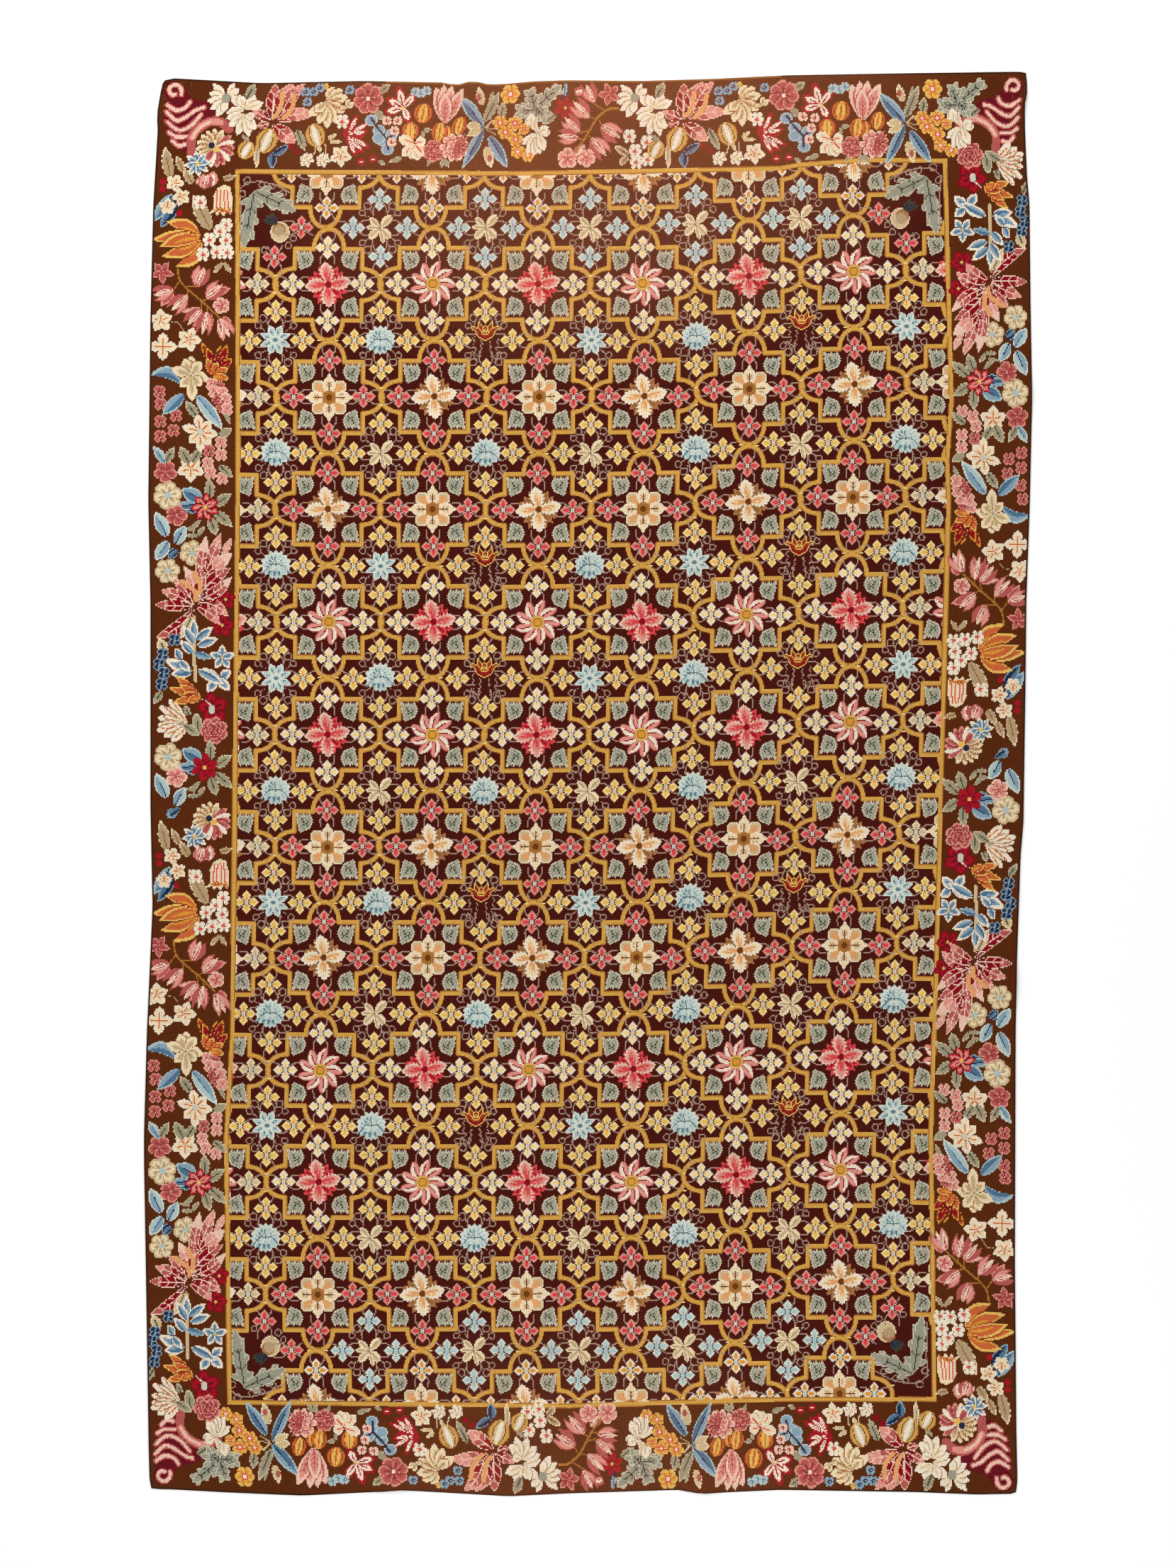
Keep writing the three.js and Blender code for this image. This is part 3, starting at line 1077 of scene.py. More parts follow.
def bell(at):
    """Hanging white bell with coral seams and a frilled orange mouth."""
    area([shifted(at, dx, dy) for dx, dy in BELL], "cream")
    for x in (-16, -5, 7, 18):
        line([shifted(at, x, -30), shifted(at, x * 0.8, 26)], "coral")
    for x in (-14, -3, 8, 19):
        petal(shifted(at, x, -38), shifted(at, x, -22), 9, "flame", blunt=0.8)
    line([shifted(at, -24, -30), shifted(at, -8, -36), shifted(at, 8, -32), shifted(at, 26, -38)],
         "orange")


def carnation(at, reach, kinds=("ragged rose", "rose")):
    """A ring of petals with a smaller flower in it."""
    for kind, size in zip(kinds, (1.0, 0.55)):
        bloom(at, reach * size, kind, turn=60)
    disc(at, reach * 0.14, "pink")


def peony(at, reach):
    """Four rings of petals, each in a dark gap, and each turned from the last."""
    bloom(at, reach, "ragged rose", turn=80)
    for k, share in enumerate((0.68, 0.46, 0.26)):
        size = reach * share
        disc(at, size * 0.8, "garnet")
        bloom(at, size, "rose", turn=54 + 30 * k)
    disc(at, 3, "rose")


# %% Feather leaflet and fruit
RIB_APART = 24  # mm
FRUIT_RINGS = {  # wools from the rind inwards, each with its share of the width
    "gold": (("fawn", 1), ("gold", 0.9), ("bark", 0.6), ("oat", 0.5), ("ivory", 0.24)),
    "orange": (("rust", 1), ("orange", 0.92), ("bark", 0.66), ("amber", 0.56), ("honey", 0.4),
               ("orange", 0.12)),
}


def feathers(table, go):
    """Long leaflets whose wools change from base to tip, in pale outline and veins."""
    for base_x, base_y, tip_x, tip_y, width, tones, bow in table:
        base = go(base_x, base_y)
        turn, length = heading(base, go(tip_x, tip_y))
        blade(base, turn, length, width, tones, "shell", "shell", belly=0.52, blunt=0.6, tip=0.85,
              ribs=length / RIB_APART, bow=bow, rim=2.2)


def fruit(at, tip_x, tip_y, width, kind):
    """Ribbed fruit: stripes one inside the other from its stalk to its tip."""
    base, tip = shifted(at, -tip_x, -tip_y), shifted(at, tip_x, tip_y)
    turn, length = heading(base, tip)
    for wool, share in FRUIT_RINGS[kind]:
        inset = length * 0.06 * (1 - share)
        blade(base, turn, length - 2 * inset, width * share, wool, start=inset)


# %% [markdown]
# ## Side border
# The side border is one long arrangement that is worked twice. Every row of the tables is a motif,
# and `go` says where the arrangement is laid.

# %% Side border tables
# columns: base x, y, tip x, y, width, coat, vein
UPPER_LEAVES = (
    (-1179, 1710, -1199, 1798, 36, "olive leaf", "olive"),
    (-1141, 1726, -1165, 1772, 24, "olive leaf", "olive"),
    (-1116, 1694, -1142, 1734, 30, "olive leaf", "olive"),
    (-1100, 1690, -1088, 1712, 20, "pink bud", None),
    (-1065, 1684, -1058, 1728, 34, "pink bud", None),
    (-1090, 1680, -1074, 1724, 34, "bud", None),
    (-1032, 1706, -994, 1716, 20, "olive leaf", "olive"),
    (-1169, 1664, -1222, 1584, 34, "sky leaf", "navy"),
    (-1160, 1630, -1206, 1566, 30, "deep leaf", None),
    (-1065, 1562, -1120, 1660, 46, "olive leaf", "olive"),
    (-1030, 1473, -1055, 1441, 16, "olive leaf", None),
)
SPRIG_LEAVES = (
    (-1028, 1473, -1006, 1443, 16, "olive leaf", None),
    (-1105, 1403, -1081, 1463, 36, "bud", None),
    (-1060, 1376, -1022, 1404, 30, "rose", None),
    (-1058, 1384, -1008, 1398, 26, "rose", None),
    (-1075, 1372, -1029, 1414, 34, "bud", None),
    (-1168, 1394, -1202, 1346, 24, "rose", None),
    (-1168, 1394, -1228, 1376, 30, "bud", None),
    (-1131, 1378, -1180, 1328, 30, "bud", None),
    (-1090, 1339, -1148, 1330, 16, "blush", None),
    (-1086, 1330, -1098, 1280, 24, "rose", None),
    (-1090, 1340, -1131, 1290, 28, "bud", None),
    (-1068, 1330, -1068, 1268, 22, "rose", None),
    (-1073, 1334, -1087, 1264, 26, "bud", None),
    (-1034, 1316, -1006, 1290, 30, "rose", None),
    (-1038, 1313, -1008, 1254, 28, "bud", None),
    (-1040, 1310, -1026, 1246, 22, "pink bud", None),
)
LOWER_LEAVES = (
    (-1139, 1099, -1199, 1039, 34, "sky leaf", None),
    (-1102, 1094, -1029, 999, 38, "ice leaf", "blue"),
    (-1105, 1036, -1136, 1080, 30, "sage leaf", "spruce"),
    (-1022, 1047, -1007, 1013, 14, "sage leaf", None),
    (-1041, 983, -1005, 1004, 28, "sage leaf", None),
    (-1193, 904, -1226, 952, 26, "ice leaf", "blue"),
    (-1192, 910, -1168, 953, 26, "sage leaf", "spruce"),
    (-1116, 906, -1088, 950, 28, "sage leaf", "spruce"),
    (-1124, 904, -1152, 953, 34, "sage leaf", "spruce"),
    (-1041, 899, -1003, 866, 26, "sage leaf", "spruce"),
)
# columns: x, y, reach, kind, turn
SIDE_BLOOMS = (
    (-1101, 1748, 38, "star", 100),
    (-1165, 1696, 27, "lined", 70), (-1147, 1654, 26, "lined", 40), (-1185, 1628, 25, "lined", 90),
    (-1095, 1640, 20, "small white", 60), (-1019, 1578, 20, "small white", 90),
    (-1067, 1536, 19, "small white", 100), (-1022, 1533, 19, "small white", 60),
    (-1038, 1558, 17, "small white", 90), (-1085, 1492, 19, "small white", 80),
    (-1047, 1499, 20, "small white", 50), (-1015, 1501, 17, "small white", 90),
    (-1200, 1442, 34, "rose star", 60), (-1035, 1351, 24, "pale rose", 30),
    (-1205, 1308, 34, "lined", 95), (-1198, 1235, 40, "lined four", 90), (-1125, 1254, 36, "lined", 70),
    (-1208, 1106, 17, "four rose", 45), (-1205, 1068, 17, "four rose", 45),
    (-1162, 1036, 18, "four rose", 45), (-1205, 1019, 18, "four rose", 45),
    (-1166, 996, 17, "four rose", 45), (-1206, 980, 18, "four rose", 45),
    (-1032, 961, 17, "four pink", 45), (-1067, 938, 17, "four rose", 40),
    (-1032, 925, 18, "four pink", 45), (-1070, 903, 16, "four pink", 45),
    (-1062, 874, 16, "four pink", 45), (-1030, 860, 18, "four pink", 45),
    (-1192, 882, 32, "rose", 54), (-1122, 888, 40, "lined", 126),
)
# columns: base x, y, tip x, y, width, coat, vein; the group round the poinsettia
STAR_LEAVES = (
    (-1066, 803, -1068, 862, 32, "sage leaf", "spruce"),
    (-1053, 787, -1006, 820, 32, "sage leaf", "spruce"),
    (-1053, 768, -1003, 725, 34, "sage leaf", "spruce"),
    (-1065, 753, -1048, 702, 34, "sage leaf", "spruce"),
    (-1090, 802, -1145, 832, 42, "sky leaf", "navy"),
    (-1096, 776, -1138, 772, 26, "navy", None),
    (-1108, 787, -1160, 782, 26, "sky leaf", "navy"),
    (-1117, 722, -1093, 746, 16, "sage leaf", None),
    (-1105, 716, -1138, 724, 14, "sage leaf", None),
    (-1099, 701, -1082, 728, 16, "sage leaf", None),
    (-1099, 701, -1132, 700, 16, "sage leaf", None),
    (-1188, 698, -1219, 768, 38, "ice leaf", "navy"),
    (-1165, 677, -1137, 730, 34, "ice leaf", "navy"),
)
# columns: base x, y, tip x, y, width, wools from base to tip, bow
FEATHERS = (
    (-1100, 560, -1078, 702, 34, ("crimson", "rose", "shell"), 0.0),
    (-1080, 590, -1036, 708, 32, ("crimson", "rose", "pink"), 0.0),
    (-1034, 640, -1006, 696, 20, ("pink", "pink"), 0.0),
    (-1080, 590, -1006, 650, 38, ("crimson", "pink", "shell"), 0.0),
    (-1100, 530, -1010, 613, 36, ("garnet", "crimson", "rose"), 0.06),
    (-1100, 520, -1003, 588, 34, ("garnet", "crimson", "rose", "shell"), -0.08),
    (-1100, 530, -1100, 620, 26, ("crimson", "rose", "rose"), -0.1),
    (-1108, 510, -1138, 616, 34, ("garnet", "crimson", "pink", "shell"), -0.1),
    (-1110, 505, -1168, 578, 34, ("garnet", "crimson", "rose", "pink"), -0.08),
    (-1112, 500, -1205, 544, 36, ("garnet", "crimson", "rose", "pink"), -0.06),
    (-1112, 500, -1221, 502, 34, ("garnet", "crimson", "rose"), 0.0),
    (-1112, 496, -1218, 412, 36, ("garnet", "crimson", "crimson", "rose"), 0.1),
    (-1100, 510, -1014, 474, 36, ("garnet", "crimson", "rose", "pink"), 0.12),
    (-1106, 500, -1040, 450, 34, ("crimson", "rose", "pink"), 0.1),
)
BLUE_SPRAY = (
    (-1117, 471, -1149, 408, 30, "oat leaf", "spruce"),
    (-1190, 370, -1210, 412, 34, "oat leaf", "spruce"),
    (-1110, 409, -1111, 466, 24, "blue leaf", None),
    (-1110, 397, -1140, 447, 26, "blue leaf", None),
    (-1105, 406, -1058, 443, 26, "blue leaf", None),
    (-1102, 391, -1044, 414, 26, "blue leaf", None),
    (-1114, 367, -1149, 403, 26, "blue leaf", None),
    (-1111, 369, -1062, 356, 22, "sky leaf", None),
    (-1148, 352, -1164, 384, 24, "blue leaf", None),
    (-1118, 316, -1194, 350, 34, "star", None),
    (-1118, 316, -1176, 308, 30, "blue leaf", None),
    (-1150, 350, -1122, 318, 24, "star", None),
    (-1040, 300, -1098, 322, 26, "star", None),
    (-1036, 296, -1010, 322, 28, "star", None),
    (-1044, 296, -1008, 262, 28, "star", None),
    (-1050, 290, -1072, 258, 28, "star", None),
    (-1098, 320, -1026, 282, 28, "blue leaf", None),
    (-1202, 262, -1226, 225, 24, "sage leaf", "spruce"),
)
SPRAY_BLOOMS = (
    (-1163, 406, 16, "navy", 45), (-1198, 362, 18, "navy", 45), (-1209, 336, 16, "navy", 45),
    (-1196, 310, 16, "navy", 45), (-1200, 278, 17, "navy", 45), (-1033, 357, 38, "star five", 90),
)


def bud(base, tip, width):
    """Half-open bud: two dark outer petals that curl out, and a light one between them."""
    turn, length = heading(base, tip)
    for side in (-1, 1):
        blade(base, turn + side * 13, length, width * 0.66, "pink" if side > 0 else "rose", "rose",
              belly=0.48, tip=1.1, bow=side * 0.1)
    blade(base, turn, length * 0.94, width * 0.56, ("rose", "pink"), "shell", belly=0.5, tip=1.0, rim=2.6)
    blade(base, turn, length * 0.7, 3.6, "ivory", start=length * 0.12, blunt=0.2)


def leaves(table, go):
    """Leaves and buds of a table, laid where go says."""
    for base_x, base_y, tip_x, tip_y, width, coat, vein in table:
        if coat == "bud":
            bud(go(base_x, base_y), go(tip_x, tip_y), width)
            continue
        teeth = 5 if coat in ("olive leaf", "sage leaf", "oat leaf") else 0
        petal(go(base_x, base_y), go(tip_x, tip_y), width, coat, teeth=teeth, vein=vein, belly=0.45,
              point=0.9)


def blooms(table, go):
    """Flowers of a table, laid where go says."""
    for x, y, reach, kind, turn in table:
        bloom(go(x, y), reach, kind, turn)


# %% Side border
def poinsettia_group(go, star, rose):
    """Poinsettia with its leaves and two flowers; its kinds are given, as they differ by side."""
    bloom(go(-1186, 814), 40, "taupe", 75)
    leaves(STAR_LEAVES, go)
    bloom(go(-1081, 781), 42, star, 82)
    bloom(go(-1162, 756), 30, rose, 70)


def half_daisy(go):
    """Daisy that is tan on one side, and rose and milk white on the other."""
    middle = go(-1053, 1794)
    for turn in (95, 118, 140, 162, 184, 206, 70):
        petal(middle, around_circle(middle, 54, turn), 22, "tan", belly=0.65, teeth=5)
    for k, turn in enumerate((40, 20, 2, -18, -38, -58, -80, -100, -122)):
        coat = "milk" if k % 3 == 1 else "rose"
        petal(middle, around_circle(middle, 56, turn), 22, coat, belly=0.62, teeth=5)
    disc(shifted(middle, 4, -3), 10, "honey")
    disc(shifted(middle, -7, 6), 8, "navy")


def white_tulip(go):
    """Toothed white petals, each with a dashed orange vein."""
    base = go(-1126, 166)
    for dx, dy in ((-54, 72), (-80, 52), (-84, 20), (-86, -2), (-88, -18), (-68, -34), (-46, -48)):
        petal(base, shifted(base, dx, dy), 26, "white", teeth=5, belly=0.6)
        line([between(base, shifted(base, dx, dy), 0.25), between(base, shifted(base, dx, dy + 6), 0.85)],
             "orange", dash=5)


def side_arrangement(go):
    """All of one arrangement, from the horn at its top down; what comes later lies over the rest."""
    half_daisy(go)
    leaves(UPPER_LEAVES, go)
    bell(go(-1032, 1648))
    for x, y in ((-1199, 1698), (-1200, 1677), (-1151, 1611), (-1145, 1589)):
        disc(go(x, y), 9, "red")
    for dx, dy, bow in ((-95, 45, -0.13), (-133, -8, -0.05), (-68, -84, 0.2), (-105, -53, 0.1),
                        (-112, -26, -0.06)):
        petal(go(-1094, 1538), go(-1094 + dx, 1538 + dy), 38, "flame", bow=bow,
              belly=0.45, point=0.9)
    stem = ((-1157, 1458), (-1151, 1421), (-1127, 1394), (-1090, 1363), (-1041, 1317))
    line(smooth([go(*place) for place in stem]), "old gold", width=3)
    for start, end in (((-1151, 1421), (-1168, 1394)), ((-1130, 1402), (-1104, 1404)),
                       ((-1130, 1396), (-1131, 1378)), ((-1092, 1364), (-1089, 1340)),
                       ((-1088, 1362), (-1072, 1370)), ((-1074, 1350), (-1073, 1334))):
        line([go(*start), go(*end)], "old gold")
    leaves(SPRIG_LEAVES, go)
    line(smooth([go(-1176, 1304), go(-1156, 1300), go(-1140, 1276)]), "taupe", dash=4)
    blooms(SIDE_BLOOMS, go)
    tulip_fan(go(-1046, 1160), ((-44, 84), (-30, 70), (10, 76), (28, 80), (42, 40)), 26, "fire")
    tulip_fan(go(-1058, 1150), ((-14, 50), (14, 40), (44, 24), (46, -6)), 26, "flame")
    petal(go(-1150, 1130), go(-1230, 1153), 34, "sky leaf", bow=-0.22)
    leaves(LOWER_LEAVES, go)
    fan(go(-1120, 1150), ((0, 56), (-20, 48), (-54, 20), (28, 42), (48, -6), (30, -28), (-30, -34),
                          (4, -72)), 34, "oat", vein="taupe")
    for x, y in ((-1059, 1127), (-1040, 1120), (-1052, 1106), (-1030, 1102), (-1042, 1084), (-1020, 1082),
                 (-1034, 1064), (-1018, 1054)):
        bloom(go(x, y), 17, "four pink" if y % 4 else "rose", x)
    fan(go(-1094, 993), ((-8, 50), (-50, 14), (-32, -34), (0, -58), (30, -38), (50, -8), (32, 30)), 30,
        "lined", vein="orange")
    disc(go(-1094, 993), 8, "frost")
    poinsettia_group(go, "poinsettia", "rose")
    bloom(go(-1117, 652), 36, "taupe", 80)
    petal(go(-1160, 664), go(-1184, 640), 24, "navy")
    petal(go(-1158, 660), go(-1180, 636), 16, "deep leaf")
    petal(go(-1183, 686), go(-1218, 634), 34, "ice leaf", vein="blue")
    bloom(go(-1185, 602), 36, "taupe", 70)
    bloom(go(-1022, 520), 30, "red five", 20)
    bloom(go(-1032, 446), 34, "red five", 80)
    feathers(FEATHERS, go)
    for points in (((-1105, 520), (-1112, 545), (-1146, 572)),
                   ((-1094, 540), (-1096, 568), (-1112, 594))):
        line(smooth([go(*place) for place in points]), "peach", width=10)
    line(smooth([go(-1111, 470), go(-1112, 400), go(-1107, 290)]), "oat", width=7)
    leaves(BLUE_SPRAY, go)
    blooms(SPRAY_BLOOMS, go)
    tulip_fan(go(-1090, 245), ((-72, 58), (-90, 24), (-60, 32), (-50, 8), (-78, -18), (-40, -14)), 26,
              "flame")
    bloom(go(-1058, 214), 46, "red five", 100)
    line([go(-1086, 240), go(-1062, 222)], "ivory", dash=3)
    disc(go(-1061, 212), 9, "frost", tall=1.3)
    white_tulip(go)
    petal(go(-1124, 190), go(-1137, 220), 18, "sage leaf", vein="spruce")
    petal(go(-1096, 142), go(-1104, 200), 28, "sage leaf", vein="spruce")
    petal(go(-1140, 168), go(-1096, 140), 26, "sage leaf", vein="spruce")
    peony(go(-1053, 151), 40)


def first_place(x, y):
    return (x, y)


def second_place(x, y):
    share = (1800 - y) / 1300
    return (x - 8 - 11 * share, y - 1898 - 10 * share)


def middle_place(x, y):
    return (x, y - 736)


def side_border():
    side_arrangement(first_place)
    poinsettia_group(middle_place, "red", "pale rose")
    petal(middle_place(-1160, 664), middle_place(-1184, 640), 28, "navy")
    petal(middle_place(-1150, 668), middle_place(-1182, 644), 18, "deep leaf")
    side_arrangement(second_place)


# %% [markdown]
# ## End border
# The end border has an arrangement of its own, worked twice between the horns.

# %% End border tables
# columns: base x, y, tip x, y, width, coat, vein
END_LEAVES = (
    (-963, 1935, -943, 1978, 32, "sage leaf", "spruce"),
    (-934, 1801, -933, 1734, 20, "oat leaf", "sage"),
    (-955, 1810, -978, 1832, 14, "sage leaf", None),
    (-892, 1779, -888, 1733, 26, "deep leaf", None),
    (-889, 1775, -845, 1803, 24, "deep leaf", None),
    (-822, 1847, -793, 1783, 26, "sage leaf", "spruce"),
    (-735, 1820, -710, 1834, 14, "oat leaf", None), (-730, 1812, -694, 1812, 14, "oat leaf", None),
    (-761, 1808, -752, 1780, 12, "oat leaf", None),
    (-591, 1951, -560, 1973, 26, "sage leaf", "spruce"),
    (-601, 1899, -577, 1873, 24, "sage leaf", None),
    (-466, 1841, -470, 1800, 12, "sage leaf", None),
    (-466, 1841, -442, 1845, 14, "sage leaf", None),
    (-524, 1764, -562, 1754, 18, "sage leaf", None),
    (-594, 1758, -572, 1748, 14, "sage leaf", None),
    (-442, 1764, -454, 1741, 14, "sage leaf", None),
    (-406, 1766, -414, 1740, 16, "sage leaf", None), (-404, 1766, -390, 1740, 16, "sage leaf", None),
    (-293, 1848, -350, 1733, 30, "sky leaf", "navy"),
    (-279, 1828, -223, 1735, 34, "sky leaf", "navy"),
    (-293, 1852, -364, 1940, 36, "sky leaf", "navy"),
    (-300, 1850, -344, 1852, 30, "oat leaf", None), (-300, 1846, -340, 1824, 26, "oat leaf", None),
    (-275, 1910, -268, 1954, 18, "sage leaf", None),
    (-290, 1868, -251, 1956, 32, "sage leaf", "spruce"),
    (-244, 1880, -240, 1926, 28, "sage leaf", "spruce"),
    (-299, 1911, -310, 1962, 26, "oat leaf", None),
    (-286, 1800, -271, 1736, 30, "oat leaf", None),
    (-92, 1887, -129, 1861, 26, "sage leaf", "spruce"),
)
# columns: x, y, reach, kind, turn
END_BLOOMS = (
    (-796, 1951, 13, "small navy", 45), (-771, 1951, 15, "small navy", 45),
    (-755, 1963, 14, "small navy", 45),
    (-790, 1925, 15, "small navy", 45), (-670, 1958, 16, "small navy", 45),
    (-692, 1868, 24, "small white", 110),
    (-620, 1934, 44, "ragged rose", 95), (-699, 1773, 32, "lined", 60),
    (-487, 1954, 17, "forget", 20), (-469, 1950, 16, "forget", 50), (-452, 1957, 17, "forget", 70),
    (-565, 1873, 14, "dotted", 90), (-536, 1870, 15, "dotted", 60), (-544, 1844, 14, "dotted", 90),
    (-550, 1810, 15, "dotted", 90),
    (-218, 1946, 28, "gold", 60), (-247, 1865, 21, "gold", 60), (-206, 1865, 22, "gold", 90),
    (-232, 1839, 21, "gold", 60), (-181, 1847, 16, "gold", 90), (-204, 1819, 21, "gold", 60),
    (-197, 1785, 20, "gold", 90), (-169, 1773, 19, "gold", 60),
)
SHELL_LEAFLETS = (
    (-900, 1862, -934, 1858, 22, ("crimson", "rose"), 0.0),
    (-892, 1871, -949, 1900, 30, ("garnet", "crimson", "rose", "pink"), 0.0),
    (-892, 1871, -890, 1976, 44, ("garnet", "crimson", "crimson", "rose"), 0.0),
    (-880, 1873, -838, 1978, 40, ("garnet", "crimson", "rose", "pink"), 0.1),
    (-866, 1872, -806, 1976, 42, ("garnet", "crimson", "rose", "pink"), 0.12),
    (-880, 1870, -771, 1888, 40, ("crimson", "rose", "pink", "pink"), 0.08),
    (-890, 1862, -822, 1808, 42, ("crimson", "crimson", "rose", "pink", "pink"), 0.0),
)
PINK_BUDS = (  # base x, y, tip x, y, width
    (19, 1920, -9, 1979, 26), (-10, 1952, -40, 1950, 20), (3, 1880, -47, 1930, 30),
    (-24, 1838, -71, 1881, 30), (-27, 1821, -88, 1829, 30), (37, 1859, 97, 1820, 34),
    (9, 1822, 56, 1766, 34), (-10, 1806, -34, 1766, 24),
)


# %% End border
def oak_cluster(go):
    """Grey leaves with deep teeth, side by side."""
    for base, tip, width in (((-150, 1900), (-198, 1900), 50), ((-150, 1900), (-166, 1960), 46),
                             ((-150, 1905), (-120, 1884), 50), ((-140, 1915), (-76, 1968), 46)):
        oak_leaf(go(*base), go(*tip), width)


def white_lily(at, tips, width):
    fan(at, tips, width, "white", vein="oat")


def end_arrangement(go):
    """Half of an end border, from the corner inwards; what comes later lies over the rest."""
    fan(go(-1018, 1932), ((-44, 40), (-52, 14), (-56, -10), (-44, -32), (-26, -54), (-8, -40), (16, 44),
                          (32, 30)), 24, "white")
    disc(go(-1021, 1934), 13, "sage")
    white_lily(go(-968, 1904), ((-42, 36), (-52, -14), (-20, 40), (28, 40), (52, 20)), 30)
    white_lily(go(-965, 1890), ((-54, -14), (-46, -36), (-20, -62), (14, -66), (32, -46), (26, -10)), 28)
    leaves(END_LEAVES, go)
    feathers(SHELL_LEAFLETS, go)
    for points in (((-884, 1882), (-868, 1906), (-862, 1946)),
                   ((-860, 1878), (-836, 1904), (-828, 1940))):
        line(smooth([go(*place) for place in points]), "peach", width=10)
    for x, y, tip_x, tip_y, width, kind in (
            (-908, 1816, 12, 34, 62, "gold"), (-966, 1787, 12, 24, 50, "gold"),
            (-770, 1831, -12, 32, 56, "gold"), (-466, 1890, 4, 28, 54, "orange"),
            (-501, 1841, 0, 27, 50, "orange"), (-400, 1832, 2, 26, 34, "orange"),
            (-420, 1838, 4, 28, 46, "orange"), (-366, 1857, 6, 26, 42, "orange")):
        fruit(go(x, y), tip_x, tip_y, width, kind)
    disc(go(-837, 1798), 9, "crimson")
    disc(go(-819, 1782), 9, "crimson")
    line([go(-770, 1800), go(-772, 1780), go(-778, 1770)], "oat", width=2)
    line([go(-742, 1805), go(-740, 1780)], "oat", width=2)
    for x, y in ((-794, 1757), (-748, 1757)):
        fan(go(x, y + 12), ((-20, -10), (-14, -28), (6, -30), (20, -16), (16, 4), (-8, 8)), 18, "white")
    petal(go(-742, 1956), go(-738, 1976), 16, "gold")
    fan(go(-739, 1925), ((18, 42), (46, 34), (62, 12), (56, -30), (30, -60), (8, -76), (-18, -64),
                         (-48, -40), (-30, -30)), 32, "oat", vein="fawn")
    fan(go(-680, 1905), ((4, 28), (20, 18), (-20, 6)), 16, "oat")
    area([go(x, y) for x, y in ((-684, 1882), (-668, 1860), (-640, 1852), (-628, 1830), (-650, 1806),
                                (-640, 1780), (-662, 1776), (-680, 1802), (-694, 1834))], "red")
    for x, y in ((-650, 1888), (-612, 1868), (-618, 1840), (-610, 1792), (-626, 1778), (-650, 1768)):
        petal(go(-678, 1828), go(x, y), 16, "scarlet", blunt=0.8, belly=0.65)
    for x, y in ((-641, 1756), (-606, 1761)):
        disc(go(x, y), 11, "red")
        disc(go(x, y), 3.5, "ivory")
    for x, y in ((-538, 1966), (-570, 1932), (-573, 1893), (-487, 1948), (-500, 1866)):
        petal(go(-520, 1905), go(x, y), 30, "scarlet", teeth=4, belly=0.6)
    disc(go(-520, 1905), 4, "honey")
    for x, y in ((-434, 1964), (-411, 1972), (-388, 1972), (-355, 1964), (-405, 1950)):
        petal(go(-405, 1862), go(x, y), 36, "pale rose", vein="rose", ribs=6, belly=0.55, point=0.8)
    for x, y in ((-612, 1872), (-590, 1842), (-576, 1816), (-555, 1832), (-590, 1820), (-566, 1790)):
        disc(go(x, y), 17, "sky", "ice")
    line([go(x, y) for x, y in ((-612, 1878), (-592, 1848), (-566, 1818), (-566, 1790))], "navy", width=5)
    line([go(-566, 1820), go(-548, 1832)], "navy", width=4)
    fan(go(-490, 1806), ((-46, 16), (-34, -38), (-6, -46), (12, -50), (32, -38), (32, 8)), 34, "lined",
        vein="coral")
    carnation(go(-435, 1785), 32)
    carnation(go(-377, 1795), 42, ("pale carnation", "pale rose"))
    fan(go(-377, 1795), ((44, 10), (38, 26), (30, 36), (44, -10), (34, -26), (10, -40)), 16, "rose")
    for x, y in ((-307, 1936), (-276, 1764)):
        disc(go(x, y), 7, "rose", tall=1.5)
    line([go(-286, 1850), go(-256, 1846)], "taupe")
    line([go(-286, 1846), go(-262, 1832)], "taupe")
    line([go(-288, 1852), go(-268, 1872)], "oat", width=3)
    blooms(END_BLOOMS, go)
    oak_cluster(go)
    white_lily(go(-140, 1838), ((-26, 44), (-44, -34), (-30, -60), (-10, -66), (6, -62), (20, -52),
                                (36, 0), (30, 14)), 30)
    white_lily(go(-162, 1850), ((-12, 36), (10, 38), (-2, 42)), 28)


def pink_sprig():
    line([(-64, 1962), (-66, 1930)], "navy", width=12)
    petal((-68, 1940), (-64, 1978), 12, "sky leaf")
    bloom((-64, 1906), 34, "red", 80)
    for base_x, base_y, tip_x, tip_y, width in PINK_BUDS:
        bud((base_x, base_y), (tip_x, tip_y), width)
    bloom((62, 1946), 34, "rose star", 40)
    bloom((-58, 1764), 30, "pale rose", 90)
    bloom((-4, 1764), 26, "pale rose", 60)
    stem = ((83, 1905), (55, 1902), (25, 1876), (3, 1841), (-12, 1816), (-37, 1782))
    line(smooth(stem), "old gold", width=4)
    for start, end in (((18, 1918), (44, 1902)), ((10, 1878), (26, 1876)), ((-24, 1836), (-2, 1842)),
                       ((-28, 1821), (-12, 1818)), ((32, 1872), (38, 1858)), ((2, 1828), (12, 1820))):
        line([start, end], "old gold")
    for base, tip in (((113, 1775), (76, 1799)), ((112, 1770), (88, 1746))):
        petal(base, tip, 20, "olive leaf", vein="bark")
    for x, y in ((119, 1828), (167, 1812), (132, 1787), (138, 1755), (168, 1763)):
        bloom((x, y), 22, "small white", 90)


def second_end(x, y):
    return (x + 1154 + 0.045 * (x + 1021), y + 0.018 * (x + 1021))


def end_border():
    end_arrangement(first_place)
    pink_sprig()
    end_arrangement(second_end)


# %% [markdown]
# ## Both halves
# The maker turned the frame half round and worked the same borders again, so the right border is the
# left one turned, and the bottom border the top one.

# %% Draw the border
BARE = 255


